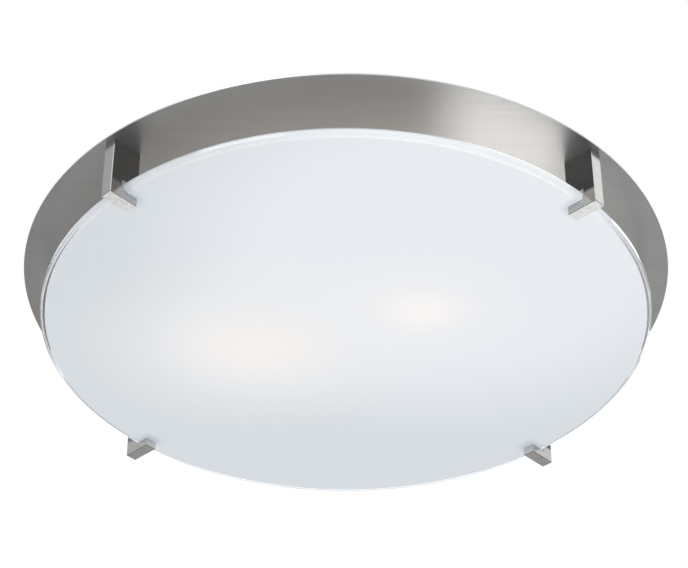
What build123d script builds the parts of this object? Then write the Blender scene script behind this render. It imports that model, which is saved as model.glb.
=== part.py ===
"""Flush mount ceiling light: a spun hat-shaped canopy, a flat glass disc and two lamps lying inside.

Millimetres, +Z up. The origin is the centre of the ceiling face, so the light hangs down in -Z.
The front is -Y and the left is -X, as someone below the light sees it with the front away from them.
"""

from build123d import *
import os

# Canopy: one spun sheet, its crown against the ceiling and its wide brim below.
sheet = 1.2
brim_overhang = 12.7
canopy_depth = 57.0
crown_top_diameter = 256.0
crown_foot_diameter = 276.0
crown_round = 9.0
brim_round = 5.0
brim_edge = 0.3
recess_diameter = 140.0
recess_depth = 8.0
recess_draft = 3.0
recess_round = 2.5

# Glass disc.
glass_diameter = 381.0
glass_thickness = 6.0
glass_drop = 27.0
glass_arris = 1.5

# Clips: square bars with a slot for the rim of the glass.
clip_places = ["back_right", "back_left", "front_left", "front_right"]
first_clip_angle = 45.0
clip_width = 8.0
clip_grip = 10.9
clip_spine = 8.1
clip_foot = 5.0
clip_edge = 0.3
clip_release = 1.1
pad_thickness = 0.8
pad_setback = 0.6
rim_gap = 0.4
glass_gap = 0.1

# Clip hardware above the brim.
clip_stud_diameter = 4.0
clip_stud_inset = 5.4
clip_stud_depth = 12.0
clip_stud_tip = 2.5
washer_diameter = 12.0
washer_thickness = 1.0
thumb_nut_diameter = 14.0
thumb_nut_height = 8.0
thumb_nut_collar = 2.0
thumb_nut_edge = 0.5
nut_flutes = 8
flute_diameter = 3.0

# Crossbar and what hangs the canopy from it.
crossbar_width = 22.0
crossbar_thickness = 2.0
box_spacing_small = 69.85
box_spacing_large = 88.9
box_slot_width = 4.6
canopy_stud_diameter = 4.2
canopy_stud_spacing = 108.0
canopy_stud_reach = 7.5
crossbar_end = 8.0
hex_flats = 7.9
hex_height = 3.2
canopy_nut_diameter = 13.0
canopy_nut_height = 12.0
canopy_nut_dome = 3.0
ground_screw_offset = 16.0
screw_head_diameter = 8.4
screw_head_height = 2.6

# Insulation pad in the crown's recess.
pad_ring_thickness = 5.5
pad_ring_bore = 92.0
pad_ring_margin = 3.5
pad_relief_width = 13.0

# Wire bushing.
bushing_diameter = 21.6
bushing_bore = 15.0
bushing_flange = 27.0
bushing_flange_height = 1.5
bushing_lip = 0.6
bushing_lip_height = 1.8

# Lamp bracket: a plate under the recess with one upright tab for each socket.
bracket_thickness = 1.5
bracket_width = 80.0
bracket_bend = 3.0
bracket_hole = 32.0
tab_width = 36.0
tab_corner = 12.0
tab_below_lamp = 19.0
rivet_spacing_x = 46.0
rivet_spacing_y = 68.0
rivet_diameter = 3.2
rivet_head_diameter = 6.0
rivet_head_height = 1.2

# Lamp places: two lamps side by side, pointing opposite ways.
lamp_spacing = 44.0
lamp_drop = 45.0
socket_back = 31.0

# Sockets.
socket_diameter = 34.0
socket_mouth_diameter = 31.6
socket_length = 34.0
socket_shoulder = 12.0
socket_floor = 7.0
socket_edge = 1.2
shell_thickness = 0.5
shell_length = 23.0
shell_eye = 12.0
contact_width = 5.0
contact_thickness = 0.5
contact_foot = 5.0
contact_rise = 3.0
contact_gap = 0.1
socket_screw_diameter = 3.0
socket_screw_spacing = 21.0
socket_screw_depth = 5.0
socket_screw_head = 5.8
socket_screw_head_height = 1.8

# Leads.
lead_diameter = 2.6
lead_bend = 8.0
lead_level = 20.0
lead_spacing = 10.0
lead_setback = 5.0
lead_hole_depth = 4.0
lead_centre_offset = 3.1
lead_tail = 2.0

# Lamps: a pear-shaped envelope on a medium screw base.
lamp_length = 110.0
lamp_ball_diameter = 60.0
lamp_neck_diameter = 26.6
lamp_glass = 1.0
lamp_base_diameter = 26.0
lamp_base_wall = 0.5
lamp_base_top = 27.0
lamp_base_bottom = 4.0
lamp_base_taper = 2.5
lamp_plug = 5.0
lamp_tip_diameter = 9.0
lamp_tip_height = 1.2
lamp_insulator_diameter = 21.0
lamp_socket_gap = 0.3
stem_diameter = 7.0
stem_top = 62.0
stem_flare = 6.0
filament_wire = 0.8
filament_span = 24.0
filament_rise = 16.0
filament_leg = 2.0

# Clearances that many pieces share.
thread_gap = 0.05
hole_gap = 0.3
bushing_gap = 0.2

# Heights and radii that follow.
brim_bottom = -canopy_depth
brim_top = brim_bottom + sheet
recess_top = -recess_depth
recess_bottom = recess_top - sheet
glass_radius = glass_diameter / 2
canopy_radius = glass_radius + brim_overhang
glass_top = brim_bottom - glass_drop
glass_bottom = glass_top - glass_thickness
clip_inner = glass_radius - clip_grip
slot_back = glass_radius + rim_gap + pad_thickness
clip_outer = slot_back + clip_spine
slot_top = glass_top + glass_gap + pad_thickness
slot_bottom = glass_bottom - pad_thickness
clip_travel = clip_grip + clip_release
clip_stud_radius = clip_stud_diameter / 2
clip_stud_place = clip_inner + clip_stud_inset
canopy_stud_radius = canopy_stud_diameter / 2
clip_angles = {
    place: first_clip_angle + turn * 360 / len(clip_places) for turn, place in enumerate(clip_places)
}
canopy_stud_places = [canopy_stud_spacing / 2, -canopy_stud_spacing / 2]
lamp_place_y = lamp_spacing / 2
lamp_seat = socket_floor + contact_rise + contact_thickness + contact_gap
lamp_base_radius = lamp_base_diameter / 2
plug_radius = lamp_base_radius - lamp_base_wall - thread_gap
shell_inner = lamp_base_radius + lamp_socket_gap
shell_outer = shell_inner + shell_thickness
rivet_places = [
    (x * rivet_spacing_x / 2, y * rivet_spacing_y / 2) for x in (-1, 1) for y in (-1, 1)
]

STANDING = (Align.CENTER, Align.CENTER, Align.MIN)


def rod(radius, bottom, top, x=0.0, y=0.0):
    """Upright round bar between two heights."""
    return Pos(x, y, bottom) * Cylinder(radius, top - bottom, align=STANDING)


def tube(outer, inner, bottom, top, x=0.0, y=0.0):
    """Upright round tube between two heights."""
    return rod(outer, bottom, top, x, y) - rod(inner, bottom, top, x, y)


def plate(outline, bottom, top):
    """Flat outline given a thickness between two heights."""
    return extrude(Pos(0, 0, bottom) * outline, top - bottom)


def turned(*points):
    """Body of revolution about Z from the corners (radius, height) of its half section."""
    section = make_face(Polyline(*points, close=True))
    return revolve(Plane.XZ * section, axis=Axis.Z)


def bent_strip(points, radii, thickness, width):
    """Sheet of one thickness folded along a path in the XZ plane, centred on Y."""
    path = FilletPolyline(*points, radius=radii)
    section = make_face(offset(path, amount=thickness, side=Side.RIGHT, closed=True))
    return extrude(Plane.XZ * section, width / 2, both=True)


def fluted(body, radius, bottom, top):
    """A round body with flutes cut along it for the fingers."""
    flute = rod(flute_diameter / 2, bottom, top)
    return body - PolarLocations(radius, nut_flutes) * flute


def button(diameter, height, base):
    """Low round head standing on a height, sloped in towards its top; a negative height hangs down."""
    radius = diameter / 2
    top = base + height
    return turned((0, base), (radius, base), (radius, base + height / 3), (radius / 2, top), (0, top))


def canopy():
    """Spun hat: recessed crown, drafted wall and flat brim, with its holes and clip slots."""
    outline = FilletPolyline(
        (0, recess_top),
        (recess_diameter / 2, recess_top),
        (recess_diameter / 2 + recess_draft, 0),
        (crown_top_diameter / 2, 0),
        (crown_foot_diameter / 2, brim_top),
        (canopy_radius, brim_top),
        radius=[recess_round, recess_round, crown_round, brim_round],
    )
    section = make_face(offset(outline, amount=sheet, side=Side.RIGHT, closed=True))
    pan = revolve(Plane.XZ * section, axis=Axis.Z)
    rim = pan.edges().filter_by(GeomType.CIRCLE).sort_by(lambda edge: edge.radius)[-2:]
    pan = chamfer(rim, brim_edge)
    pan -= rod(bushing_diameter / 2 + bushing_gap, recess_bottom, recess_top)
    for y in canopy_stud_places:
        pan -= rod(canopy_stud_radius + hole_gap, recess_bottom, recess_top, 0, y)
    for x, y in rivet_places:
        pan -= rod(rivet_diameter / 2 + thread_gap, recess_bottom, recess_top, x, y)
    slot = SlotCenterToCenter(clip_travel, clip_stud_diameter + 2 * hole_gap)
    slot_cut = plate(Pos(clip_stud_place + clip_travel / 2, 0) * slot, brim_bottom, brim_top)
    for angle in clip_angles.values():
        pan -= Rot(0, 0, angle) * slot_cut
    return pan


def glass_disc():
    """Flat disc with its polished arrises."""
    disc = rod(glass_radius, glass_bottom, glass_top)
    return chamfer(disc.edges(), glass_arris)


def clip():
    """Square bar on +X, from the brim past the glass, with the slot and foot that carry it."""
    section = Polyline(
        (clip_inner, brim_bottom),
        (clip_outer, brim_bottom),
        (clip_outer, slot_bottom - clip_foot),
        (clip_inner, slot_bottom - clip_foot),
        (clip_inner, slot_bottom),
        (slot_back, slot_bottom),
        (slot_back, slot_top),
        (clip_inner, slot_top),
        close=True,
    )
    bar = extrude(Plane.XZ * make_face(section), clip_width / 2, both=True)
    outside = bar.edges().filter_by(lambda edge: not in_slot(edge))
    bar = chamfer(outside, clip_edge)
    bottom = brim_bottom - clip_stud_depth
    return bar - rod(clip_stud_radius + thread_gap, bottom, brim_bottom, clip_stud_place)


def in_slot(edge):
    """Whether an edge of the clip borders its glass slot, where the corners stay sharp."""
    height = edge.center().Z
    beside_slot = edge.center().X < slot_back + thread_gap
    return beside_slot and slot_bottom - thread_gap < height < slot_top + thread_gap


def clip_stud():
    """Threaded stud in the top of the clip, up through the brim's slot."""
    top = brim_top + washer_thickness + thumb_nut_height + clip_stud_tip
    stud = rod(clip_stud_radius, brim_bottom - clip_stud_depth, top, clip_stud_place)
    return chamfer(stud.edges().sort_by(Axis.Z)[-1], clip_stud_radius / 4)


def clip_washer():
    """Flat washer between the brim and the thumb nut."""
    bore = clip_stud_radius + hole_gap
    top = brim_top + washer_thickness
    return tube(washer_diameter / 2, bore, brim_top, top, clip_stud_place)


def thumb_nut():
    """Fluted round nut with a collar, turned by hand."""
    bottom = brim_top + washer_thickness
    top = bottom + thumb_nut_height
    head = rod(thumb_nut_diameter / 2, bottom + thumb_nut_collar, top)
    head = chamfer(head.edges().sort_by(Axis.Z)[-1], thumb_nut_edge)
    head = fluted(head, thumb_nut_diameter / 2, bottom + thumb_nut_collar, top)
    collar = rod(thumb_nut_diameter / 2 - flute_diameter, bottom, bottom + thumb_nut_collar)
    nut = head + collar - rod(clip_stud_radius + thread_gap, bottom, top)
    return Pos(clip_stud_place, 0, 0) * nut


def glass_pad():
    """Silicone channel that lines the clip's slot."""
    start = clip_inner + pad_setback
    lining = Polyline(
        (start, slot_bottom),
        (slot_back, slot_bottom),
        (slot_back, slot_top),
        (start, slot_top),
        (start, slot_top - pad_thickness),
        (slot_back - pad_thickness, slot_top - pad_thickness),
        (slot_back - pad_thickness, slot_bottom + pad_thickness),
        (start, slot_bottom + pad_thickness),
        close=True,
    )
    return extrude(Plane.XZ * make_face(lining), clip_width / 2, both=True)


def crossbar():
    """Strap along Y with two slots for the outlet box's screws and two tapped ends."""
    length = canopy_stud_spacing + 2 * crossbar_end
    bar = plate(Rot(0, 0, 90) * SlotOverall(length, crossbar_width), -crossbar_thickness, 0)
    box_slot_length = (box_spacing_large - box_spacing_small) / 2 + box_slot_width
    box_slot = Rot(0, 0, 90) * SlotOverall(box_slot_length, box_slot_width)
    box_slot_place = (box_spacing_large + box_spacing_small) / 4
    for y in (box_slot_place, -box_slot_place):
        bar -= plate(Pos(0, y) * box_slot, -crossbar_thickness, 0)
    for y in canopy_stud_places + [ground_screw_offset]:
        bar -= rod(canopy_stud_radius + thread_gap, -crossbar_thickness, 0, 0, y)
    return bar


def canopy_studs():
    """Threaded studs from the crossbar down through the crown."""
    bottom = recess_bottom - canopy_stud_reach
    return Compound([rod(canopy_stud_radius, bottom, 0, 0, y) for y in canopy_stud_places])


def stud_locknuts():
    """Hexagon nuts that lock the studs against the crossbar."""
    bottom = -crossbar_thickness - hex_height
    hexagon = RegularPolygon(hex_flats / 2, 6, major_radius=False)
    nut = plate(hexagon, bottom, -crossbar_thickness)
    nut -= rod(canopy_stud_radius + thread_gap, bottom, -crossbar_thickness)
    return Compound([Pos(0, y, 0) * nut for y in canopy_stud_places])


def canopy_nuts():
    """Fluted cap nuts under the crown that hold the canopy up."""
    radius = canopy_nut_diameter / 2
    bottom = recess_bottom - canopy_nut_height
    nut = rod(radius, bottom, recess_bottom)
    nut = chamfer(nut.edges().sort_by(Axis.Z)[0], canopy_nut_dome)
    nut = fluted(nut, radius, bottom, recess_bottom)
    nut -= rod(canopy_stud_radius + thread_gap, recess_bottom - canopy_stud_reach, recess_bottom)
    return Compound([Pos(0, y, 0) * nut for y in canopy_stud_places])


def ground_screw():
    """Pan-head screw for the ground wire, in the crossbar."""
    head = button(screw_head_diameter, -screw_head_height, -crossbar_thickness)
    shank = rod(canopy_stud_radius, -crossbar_thickness, 0)
    return Pos(0, ground_screw_offset, 0) * (head + shank)


def insulation_pad():
    """Fibre ring in the recess, relieved round the studs and the outlet box's screws."""
    outer = recess_diameter / 2 - pad_ring_margin
    ring = tube(outer, pad_ring_bore / 2, recess_top, recess_top + pad_ring_thickness)
    relief = Rot(0, 0, 90) * SlotCenterToCenter(canopy_stud_spacing, pad_relief_width)
    return ring - plate(relief, recess_top, recess_top + pad_ring_thickness)


def wire_bushing():
    """Snap bushing: a flange below the crown's floor and a barbed lip above it."""
    barrel = bushing_diameter / 2
    bore = bushing_bore / 2
    lip_top = recess_top + bushing_lip_height
    flange_bottom = recess_bottom - bushing_flange_height
    return turned(
        (bore, flange_bottom),
        (bushing_flange / 2, flange_bottom),
        (bushing_flange / 2, recess_bottom),
        (barrel, recess_bottom),
        (barrel, recess_top),
        (barrel + bushing_lip, recess_top),
        (barrel, lip_top),
        (bore, lip_top),
    )


def lamp_bracket():
    """Folded plate riveted under the recess, with a tab at the back of each socket."""
    bottom = recess_bottom - bracket_thickness
    base = plate(Rectangle(2 * socket_back - 2 * bracket_bend, bracket_width), bottom, recess_bottom)
    tab_face = socket_back + bracket_thickness
    tab_end = -lamp_drop - tab_below_lamp
    fold = bent_strip(
        [(0, recess_bottom), (tab_face, recess_bottom), (tab_face, tab_end)],
        [bracket_bend],
        bracket_thickness,
        tab_width,
    )
    tip = fold.edges().filter_by(Axis.X).sort_by(Axis.Z)[:2]
    fold = fillet(tip, tab_corner)
    fold = Pos(0, lamp_place_y, 0) * fold
    for y in (-1, 1):
        place = lamp_place_y + y * socket_screw_spacing / 2
        hole = Pos(socket_back, place, -lamp_drop) * Rot(0, 90, 0)
        fold -= hole * Cylinder(socket_screw_diameter / 2 + hole_gap / 2, 4 * bracket_thickness)
    bracket = base + fold + Rot(0, 0, 180) * fold
    bracket -= rod(bracket_hole / 2, bottom, recess_bottom)
    for x, y in rivet_places:
        bracket -= rod(rivet_diameter / 2 + thread_gap, bottom, recess_bottom, x, y)
    return bracket


def bracket_rivets():
    """Round-headed rivets through the crown's floor and the bracket."""
    bottom = recess_bottom - bracket_thickness
    shank = rod(rivet_diameter / 2, bottom, recess_top)
    upper = rod(rivet_head_diameter / 2, recess_top, recess_top + rivet_head_height)
    lower = rod(rivet_head_diameter / 2, bottom - rivet_head_height, bottom)
    rivet = upper + shank + lower
    return Compound([Pos(x, y, 0) * rivet for x, y in rivet_places])


def lead_starts():
    """Places (x, y, z) of the floors of the left socket's two lead holes."""
    offset_y = lead_spacing / 2
    surface = ((socket_diameter / 2) ** 2 - offset_y**2) ** 0.5
    floor = -lamp_drop + surface - lead_hole_depth
    x = socket_back - lead_setback
    return [(x, lamp_place_y + offset_y, floor), (x, lamp_place_y - offset_y, floor)]


def lead(start, side):
    """Insulated wire from the socket's top, level under the crown, then up through the bushing."""
    x, y, floor = start
    end_y = side * lead_centre_offset
    top = recess_top + bushing_lip_height + lead_tail
    path = FilletPolyline(
        (x, y, floor),
        (x, y, -lead_level),
        (lead_centre_offset, end_y, -lead_level),
        (lead_centre_offset, end_y, top),
        radius=lead_bend,
    )
    section = Plane(path @ 0, z_dir=path % 0) * Circle(lead_diameter / 2)
    return sweep(section, path=path)


def socket_body():
    """Porcelain cup with a stepped outside, a thick floor and holes for screws."""
    shoulder = socket_diameter / 2
    mouth = socket_mouth_diameter / 2
    bore = shell_outer + thread_gap
    body = turned(
        (0, 0),
        (shoulder - socket_edge, 0),
        (shoulder, socket_edge),
        (shoulder, socket_shoulder),
        (mouth, socket_shoulder + shoulder - mouth),
        (mouth, socket_length - socket_edge),
        (mouth - socket_edge / 2, socket_length),
        (bore, socket_length),
        (bore, socket_floor),
        (0, socket_floor),
    )
    for x in (-1, 1):
        place = x * socket_screw_spacing / 2
        body -= rod(socket_screw_diameter / 2 + thread_gap, 0, socket_screw_depth, place)
    return body


def screw_shell():
    """Brass shell that takes the lamp's base, open at the mouth, with an eye in its floor."""
    cup = rod(shell_outer, socket_floor, socket_floor + shell_length)
    cup -= rod(shell_inner, socket_floor + shell_thickness, socket_floor + shell_length)
    return cup - rod(shell_eye / 2, socket_floor, socket_floor + shell_thickness)


def centre_contact():
    """Leaf spring on the socket's floor that meets the lamp's tip."""
    low = socket_floor + contact_thickness
    high = low + contact_rise
    leaf = bent_strip(
        [(-contact_foot, low), (0, low), (contact_foot / 2, high), (contact_foot, high)],
        [contact_thickness * 2, contact_thickness * 2],
        contact_thickness,
        contact_width,
    )
    return leaf


def socket_screws():
    """Two screws through the bracket's tab into the porcelain."""
    screw = rod(socket_screw_diameter / 2, -bracket_thickness, socket_screw_depth)
    screw += button(socket_screw_head, -socket_screw_head_height, -bracket_thickness)
    return Compound([Pos(x * socket_screw_spacing / 2, 0, 0) * screw for x in (-1, 1)])


def envelope_section(inset):
    """Half section of the pear-shaped bulb, drawn inside its true outline by an inset."""
    ball = lamp_ball_diameter / 2 - inset
    neck = lamp_neck_diameter / 2 - inset
    middle = lamp_length - lamp_ball_diameter / 2
    flare = Spline((neck, lamp_base_top), (ball, middle), tangents=[(0, 1), (0, 1)])
    dome = CenterArc((0, middle), ball, 0, 90)
    axis = Polyline((0, middle + ball), (0, lamp_base_top), (neck, lamp_base_top))
    return make_face(flare + dome + axis)


def lamp_envelope():
    """Thin glass bulb whose neck is plugged into the screw base."""
    hollow = envelope_section(lamp_glass)
    bulb = revolve(Plane.XZ * (envelope_section(0) - hollow), axis=Axis.Z)
    plug_bottom = lamp_base_top - lamp_plug
    plug_top = lamp_base_top + lamp_glass
    return bulb + tube(plug_radius, plug_radius - lamp_glass, plug_bottom, plug_top)


def lamp_base():
    """Plated screw shell of the lamp, tapered in to its insulator."""
    outer = lamp_base_radius
    foot = lamp_insulator_diameter / 2
    start = lamp_base_bottom + lamp_base_taper
    return turned(
        (foot - lamp_base_wall, lamp_base_bottom),
        (foot, lamp_base_bottom),
        (outer, start),
        (outer, lamp_base_top),
        (outer - lamp_base_wall, lamp_base_top),
        (outer - lamp_base_wall, start + lamp_base_wall / 2),
    )


def lamp_insulator():
    """Dark glass cone between the lamp's screw shell and its tip."""
    return turned(
        (0, lamp_tip_height),
        (lamp_tip_diameter / 2 + lamp_tip_height, lamp_tip_height),
        (lamp_insulator_diameter / 2, lamp_base_bottom),
        (0, lamp_base_bottom),
    )


def lamp_contact():
    """Solder tip of the lamp."""
    radius = lamp_tip_diameter / 2
    middle = lamp_tip_height / 2
    return turned((0, 0), (radius / 2, 0), (radius, middle), (radius, lamp_tip_height), (0, lamp_tip_height))


def lamp_stem():
    """Glass stem inside the lamp, flared where it is sealed to the neck."""
    seat = lamp_base_top + lamp_glass
    flare = lamp_neck_diameter / 2 - lamp_glass - thread_gap
    radius = stem_diameter / 2
    return turned(
        (0, seat),
        (flare, seat),
        (radius, seat + stem_flare),
        (radius, stem_top),
        (0, stem_top),
    )


def lamp_filament():
    """Filament on its two support wires, as one bent wire standing in the stem's end."""
    half = filament_span / 2
    foot = stem_diameter / 4
    top = stem_top + filament_rise
    knee = stem_top + filament_leg
    rise = [(-foot, 0, stem_top), (-foot, 0, knee), (-half, 0, top)]
    fall = [(half, 0, top), (foot, 0, knee), (foot, 0, stem_top)]
    path = Polyline(*rise, *fall)
    section = Plane(path @ 0, z_dir=path % 0) * Circle(filament_wire / 2)
    return sweep(section, path=path, transition=Transition.RIGHT)


def lead_holes():
    """The two blind holes in the left socket's top."""
    radius = lead_diameter / 2 + thread_gap
    top = -lamp_drop + socket_diameter / 2
    return [rod(radius, floor, top, x, y) for x, y, floor in lead_starts()]


nodes = {
    "canopy": canopy(),
    "glass_disc": glass_disc(),
    "crossbar": crossbar(),
    "canopy_studs": canopy_studs(),
    "stud_locknuts": stud_locknuts(),
    "canopy_nuts": canopy_nuts(),
    "ground_screw": ground_screw(),
    "insulation_pad": insulation_pad(),
    "wire_bushing": wire_bushing(),
    "lamp_bracket": lamp_bracket(),
    "bracket_rivets": bracket_rivets(),
}

# One set of clip pieces, turned about the centre to each of the four places.
clip_set = {
    "clip": clip(),
    "clip_stud": clip_stud(),
    "clip_washer": clip_washer(),
    "thumb_nut": thumb_nut(),
    "glass_pad": glass_pad(),
}
for place, angle in clip_angles.items():
    for name, piece in clip_set.items():
        nodes[f"{name}_{place}"] = Rot(0, 0, angle) * piece

# One lamp and socket, built upright, laid down for the left side and turned half round for the right.
socket_place = (socket_back, lamp_place_y, -lamp_drop)
socket_frame = Location(Plane(socket_place, x_dir=(0, 1, 0), z_dir=(-1, 0, 0)))
lamp_frame = socket_frame * Pos(0, 0, lamp_seat)
leads = [lead(start, side) for start, side in zip(lead_starts(), (1, -1))]
left_side = {
    "socket_body": socket_frame * socket_body() - lead_holes(),
    "screw_shell": socket_frame * screw_shell(),
    "centre_contact": socket_frame * centre_contact(),
    "socket_screws": socket_frame * socket_screws(),
    "lead_line": leads[0],
    "lead_neutral": leads[1],
    "lamp_envelope": lamp_frame * lamp_envelope(),
    "lamp_base": lamp_frame * lamp_base(),
    "lamp_insulator": lamp_frame * lamp_insulator(),
    "lamp_contact": lamp_frame * lamp_contact(),
    "lamp_stem": lamp_frame * lamp_stem(),
    "lamp_filament": lamp_frame * lamp_filament(),
}
for name, piece in left_side.items():
    nodes[f"{name}_left"] = piece
    nodes[f"{name}_right"] = Rot(0, 0, 180) * piece

os.makedirs("parts", exist_ok=True)
for name, piece in nodes.items():
    export_step(piece, f"parts/{name}.step")
    print(name, round(piece.volume, 1))
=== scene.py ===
"""Dresses the flush mount ceiling light: its finishes, its fine pieces, the studio and the camera.

Everything is in metres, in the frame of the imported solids: +Z is up, the ceiling face is z = 0,
and the brim and the glass hang below it. The near side of the picture is -Y.
"""

from __future__ import annotations

import logging
import math
from dataclasses import dataclass, field
from enum import Enum
from typing import Callable, ClassVar

import bmesh
import bpy
from mathutils import Euler, Matrix, Vector

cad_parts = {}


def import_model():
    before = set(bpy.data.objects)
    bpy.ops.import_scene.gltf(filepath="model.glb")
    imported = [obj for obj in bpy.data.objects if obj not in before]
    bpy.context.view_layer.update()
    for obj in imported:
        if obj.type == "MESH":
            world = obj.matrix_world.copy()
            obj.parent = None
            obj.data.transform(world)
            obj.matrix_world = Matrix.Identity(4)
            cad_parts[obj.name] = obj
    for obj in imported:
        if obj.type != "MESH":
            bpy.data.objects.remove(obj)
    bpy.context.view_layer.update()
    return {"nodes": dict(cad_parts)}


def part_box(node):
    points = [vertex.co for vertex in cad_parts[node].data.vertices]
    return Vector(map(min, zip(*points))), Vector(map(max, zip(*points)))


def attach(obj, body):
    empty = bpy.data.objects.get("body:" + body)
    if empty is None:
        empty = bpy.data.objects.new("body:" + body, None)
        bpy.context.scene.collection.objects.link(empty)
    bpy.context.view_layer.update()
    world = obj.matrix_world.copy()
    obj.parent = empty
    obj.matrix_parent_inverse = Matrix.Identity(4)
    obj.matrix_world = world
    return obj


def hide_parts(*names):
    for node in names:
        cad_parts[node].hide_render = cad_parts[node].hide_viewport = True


LOG = logging.getLogger("ceiling_light")
MM = 0.001
TURN = 2.0 * math.pi
DIAGONAL = math.sqrt(0.5)
BACK_RIGHT_ANGLE = 45.0

Pair = tuple[float, float]
Levels = tuple[float, float, float, float]
Rgb = tuple[float, float, float]
Outline = tuple[Pair, ...]
Socket = bpy.types.NodeSocket

BLACK: Rgb = (0.0, 0.0, 0.0)
WHITE: Rgb = (1.0, 1.0, 1.0)
DUST_COLOUR: Rgb = (0.55, 0.52, 0.48)

# The middle half of a noise's values, and most of them.
NOISE_MIDDLE: Pair = (0.3, 0.7)
NOISE_MOST: Pair = (0.2, 0.8)

# How near points are that belong together, and how flat a face is that the packing cut up.
SAME_POINT = 0.000001
SAME_PACKED_POINT = 0.000002
SAME_PLACE = 1e-5
FLAT_DEGREES = 0.6

# The bend from which an edge is sharp, and how upright the normal of a level face is.
SHARP_DEGREES = 40.0
LEVEL_NORMAL = 0.999


def scaled(colour: Rgb, share: float) -> Rgb:
    """Returns a colour times a share, and never above white."""
    return tuple(min(1.0, part * share) for part in colour)


class Seat(Enum):
    """Where a copy of a piece belongs: its angle about Z from the seat that is modelled."""

    @property
    def tag(self) -> str:
        """The seat as the node names spell it."""
        return self.name.lower()

    @property
    def turned(self) -> Matrix:
        """Turns the modelled piece to this seat."""
        return Matrix.Rotation(math.radians(self.value), 4, "Z")


class Place(Seat):
    """The four places of the clips. The back right one is modelled."""

    FRONT_LEFT = 180.0
    FRONT_RIGHT = 270.0
    BACK_RIGHT = 0.0
    BACK_LEFT = 90.0

    @property
    def angle(self) -> float:
        """The clip's own angle on the brim, in radians."""
        return math.radians(self.value + BACK_RIGHT_ANGLE)


class Side(Seat):
    """The two lamps. The left one, which points to -X, is modelled."""

    LEFT = 0.0
    RIGHT = 180.0


class Grain(Enum):
    """How the drawn lines of a metal lie: straight along X, or none that can be seen."""

    ALONG_X = (9.0, 520.0, 520.0)
    NONE = (260.0, 260.0, 260.0)


# ---------------------------------------------------------------------------
# Node graphs
# ---------------------------------------------------------------------------


class Graph:
    """A node tree with short calls that add nodes and join them."""

    def __init__(self, tree: bpy.types.NodeTree) -> None:
        """Keeps the tree that the calls add to."""
        self.tree = tree

    def node(self, kind: str, **values: object) -> bpy.types.Node:
        """Adds a node.

        Args:
            kind: The node's type, without its ShaderNode prefix.
            values: Attributes to set on it.

        Returns:
            The new node.
        """
        made = self.tree.nodes.new(kind if kind.startswith("Node") else f"ShaderNode{kind}")
        for name, value in values.items():
            setattr(made, name, value)
        return made

    def feed(self, into: Socket, value: object) -> None:
        """Joins a socket to another one, or sets its plain value.

        Args:
            into: The socket that takes the value.
            value: A socket, a number, a vector or a colour.
        """
        if isinstance(value, bpy.types.NodeSocket):
            self.tree.links.new(value, into)
        elif isinstance(value, tuple) and len(into.default_value) == 4 and len(value) == 3:
            into.default_value = (*value, 1.0)
        else:
            into.default_value = value

    def fill(self, made: bpy.types.Node, **values: object) -> bpy.types.Node:
        """Feeds a node's inputs by their names.

        Args:
            made: The node.
            values: What the inputs get; an underscore in a name stands for a space.

        Returns:
            The same node.
        """
        for name, value in values.items():
            self.feed(made.inputs[name.replace("_", " ")], value)
        return made

    def math(
        self,
        operation: str,
        first: object,
        second: object = 0.0,
        kind: str = "Math",
        **values: object,
    ) -> Socket:
        """Adds a Math node, or a Vector Math node.

        Args:
            operation: What it works out.
            first: Its first input.
            second: Its second input, where the operation has one.
            kind: "Math" or "VectorMath".
            values: Further attributes to set on it.

        Returns:
            What it puts out.
        """
        made = self.node(kind, operation=operation, **values)
        self.feed(made.inputs[0], first)
        self.feed(made.inputs[1], second)
        return made.outputs[0]

    def product(self, first: Socket, *others: object) -> Socket:
        """Multiplies a value by others.

        Args:
            first: The value.
            others: What it is multiplied by, in this order.

        Returns:
            The product.
        """
        for other in others:
            first = self.math("MULTIPLY", first, other)
        return first

    def mix(self, factor: object, first: object, second: object, blend: str = "MIX") -> Socket:
        """Mixes two colours.

        Args:
            factor: How much of the second one there is.
            first: The first colour.
            second: The second colour.
            blend: How the second one is laid over the first.

        Returns:
            The mixed colour.
        """
        made = self.node("Mix", data_type="RGBA", blend_type=blend)
        self.feed(made.inputs["Factor"], factor)
        self.feed(made.inputs[6], first)
        self.feed(made.inputs[7], second)
        return made.outputs[2]

    def ramp(
        self,
        value: object,
        low: object = 0.0,
        high: object = 1.0,
        to_low: object = 0.0,
        to_high: object = 1.0,
    ) -> Socket:
        """Maps a value smoothly from one range to another.

        Args:
            value: What is mapped.
            low: The value that gives to_low.
            high: The value that gives to_high.
            to_low: The lower end of what comes out.
            to_high: The upper end of what comes out.

        Returns:
            The mapped value.
        """
        made = self.node("MapRange", interpolation_type="SMOOTHSTEP")
        self.fill(
            made, Value=value, From_Min=low, From_Max=high, To_Min=to_low, To_Max=to_high
        )
        return made.outputs["Result"]

    def noise(self, vector: Socket, scale: object, detail: float = 2.0) -> Socket:
        """Adds a Noise Texture and returns its value."""
        made = self.node("TexNoise")
        return self.fill(made, Vector=vector, Scale=scale, Detail=detail).outputs["Fac"]

    def stretched(self, vector: Socket, scale: object) -> Socket:
        """Scales a vector with a Mapping node and returns it."""
        return self.fill(self.node("Mapping"), Vector=vector, Scale=scale).outputs["Vector"]

    def split(self, vector: Socket) -> tuple[Socket, ...]:
        """Splits a vector into its X, Y and Z, in this order."""
        return tuple(self.fill(self.node("SeparateXYZ"), Vector=vector).outputs)

    def light_up(self, shader: bpy.types.Node, colour: object) -> None:
        """Makes a shader give off a colour as bright as it is written."""
        self.fill(shader, Emission_Color=colour, Emission_Strength=1.0)


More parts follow.
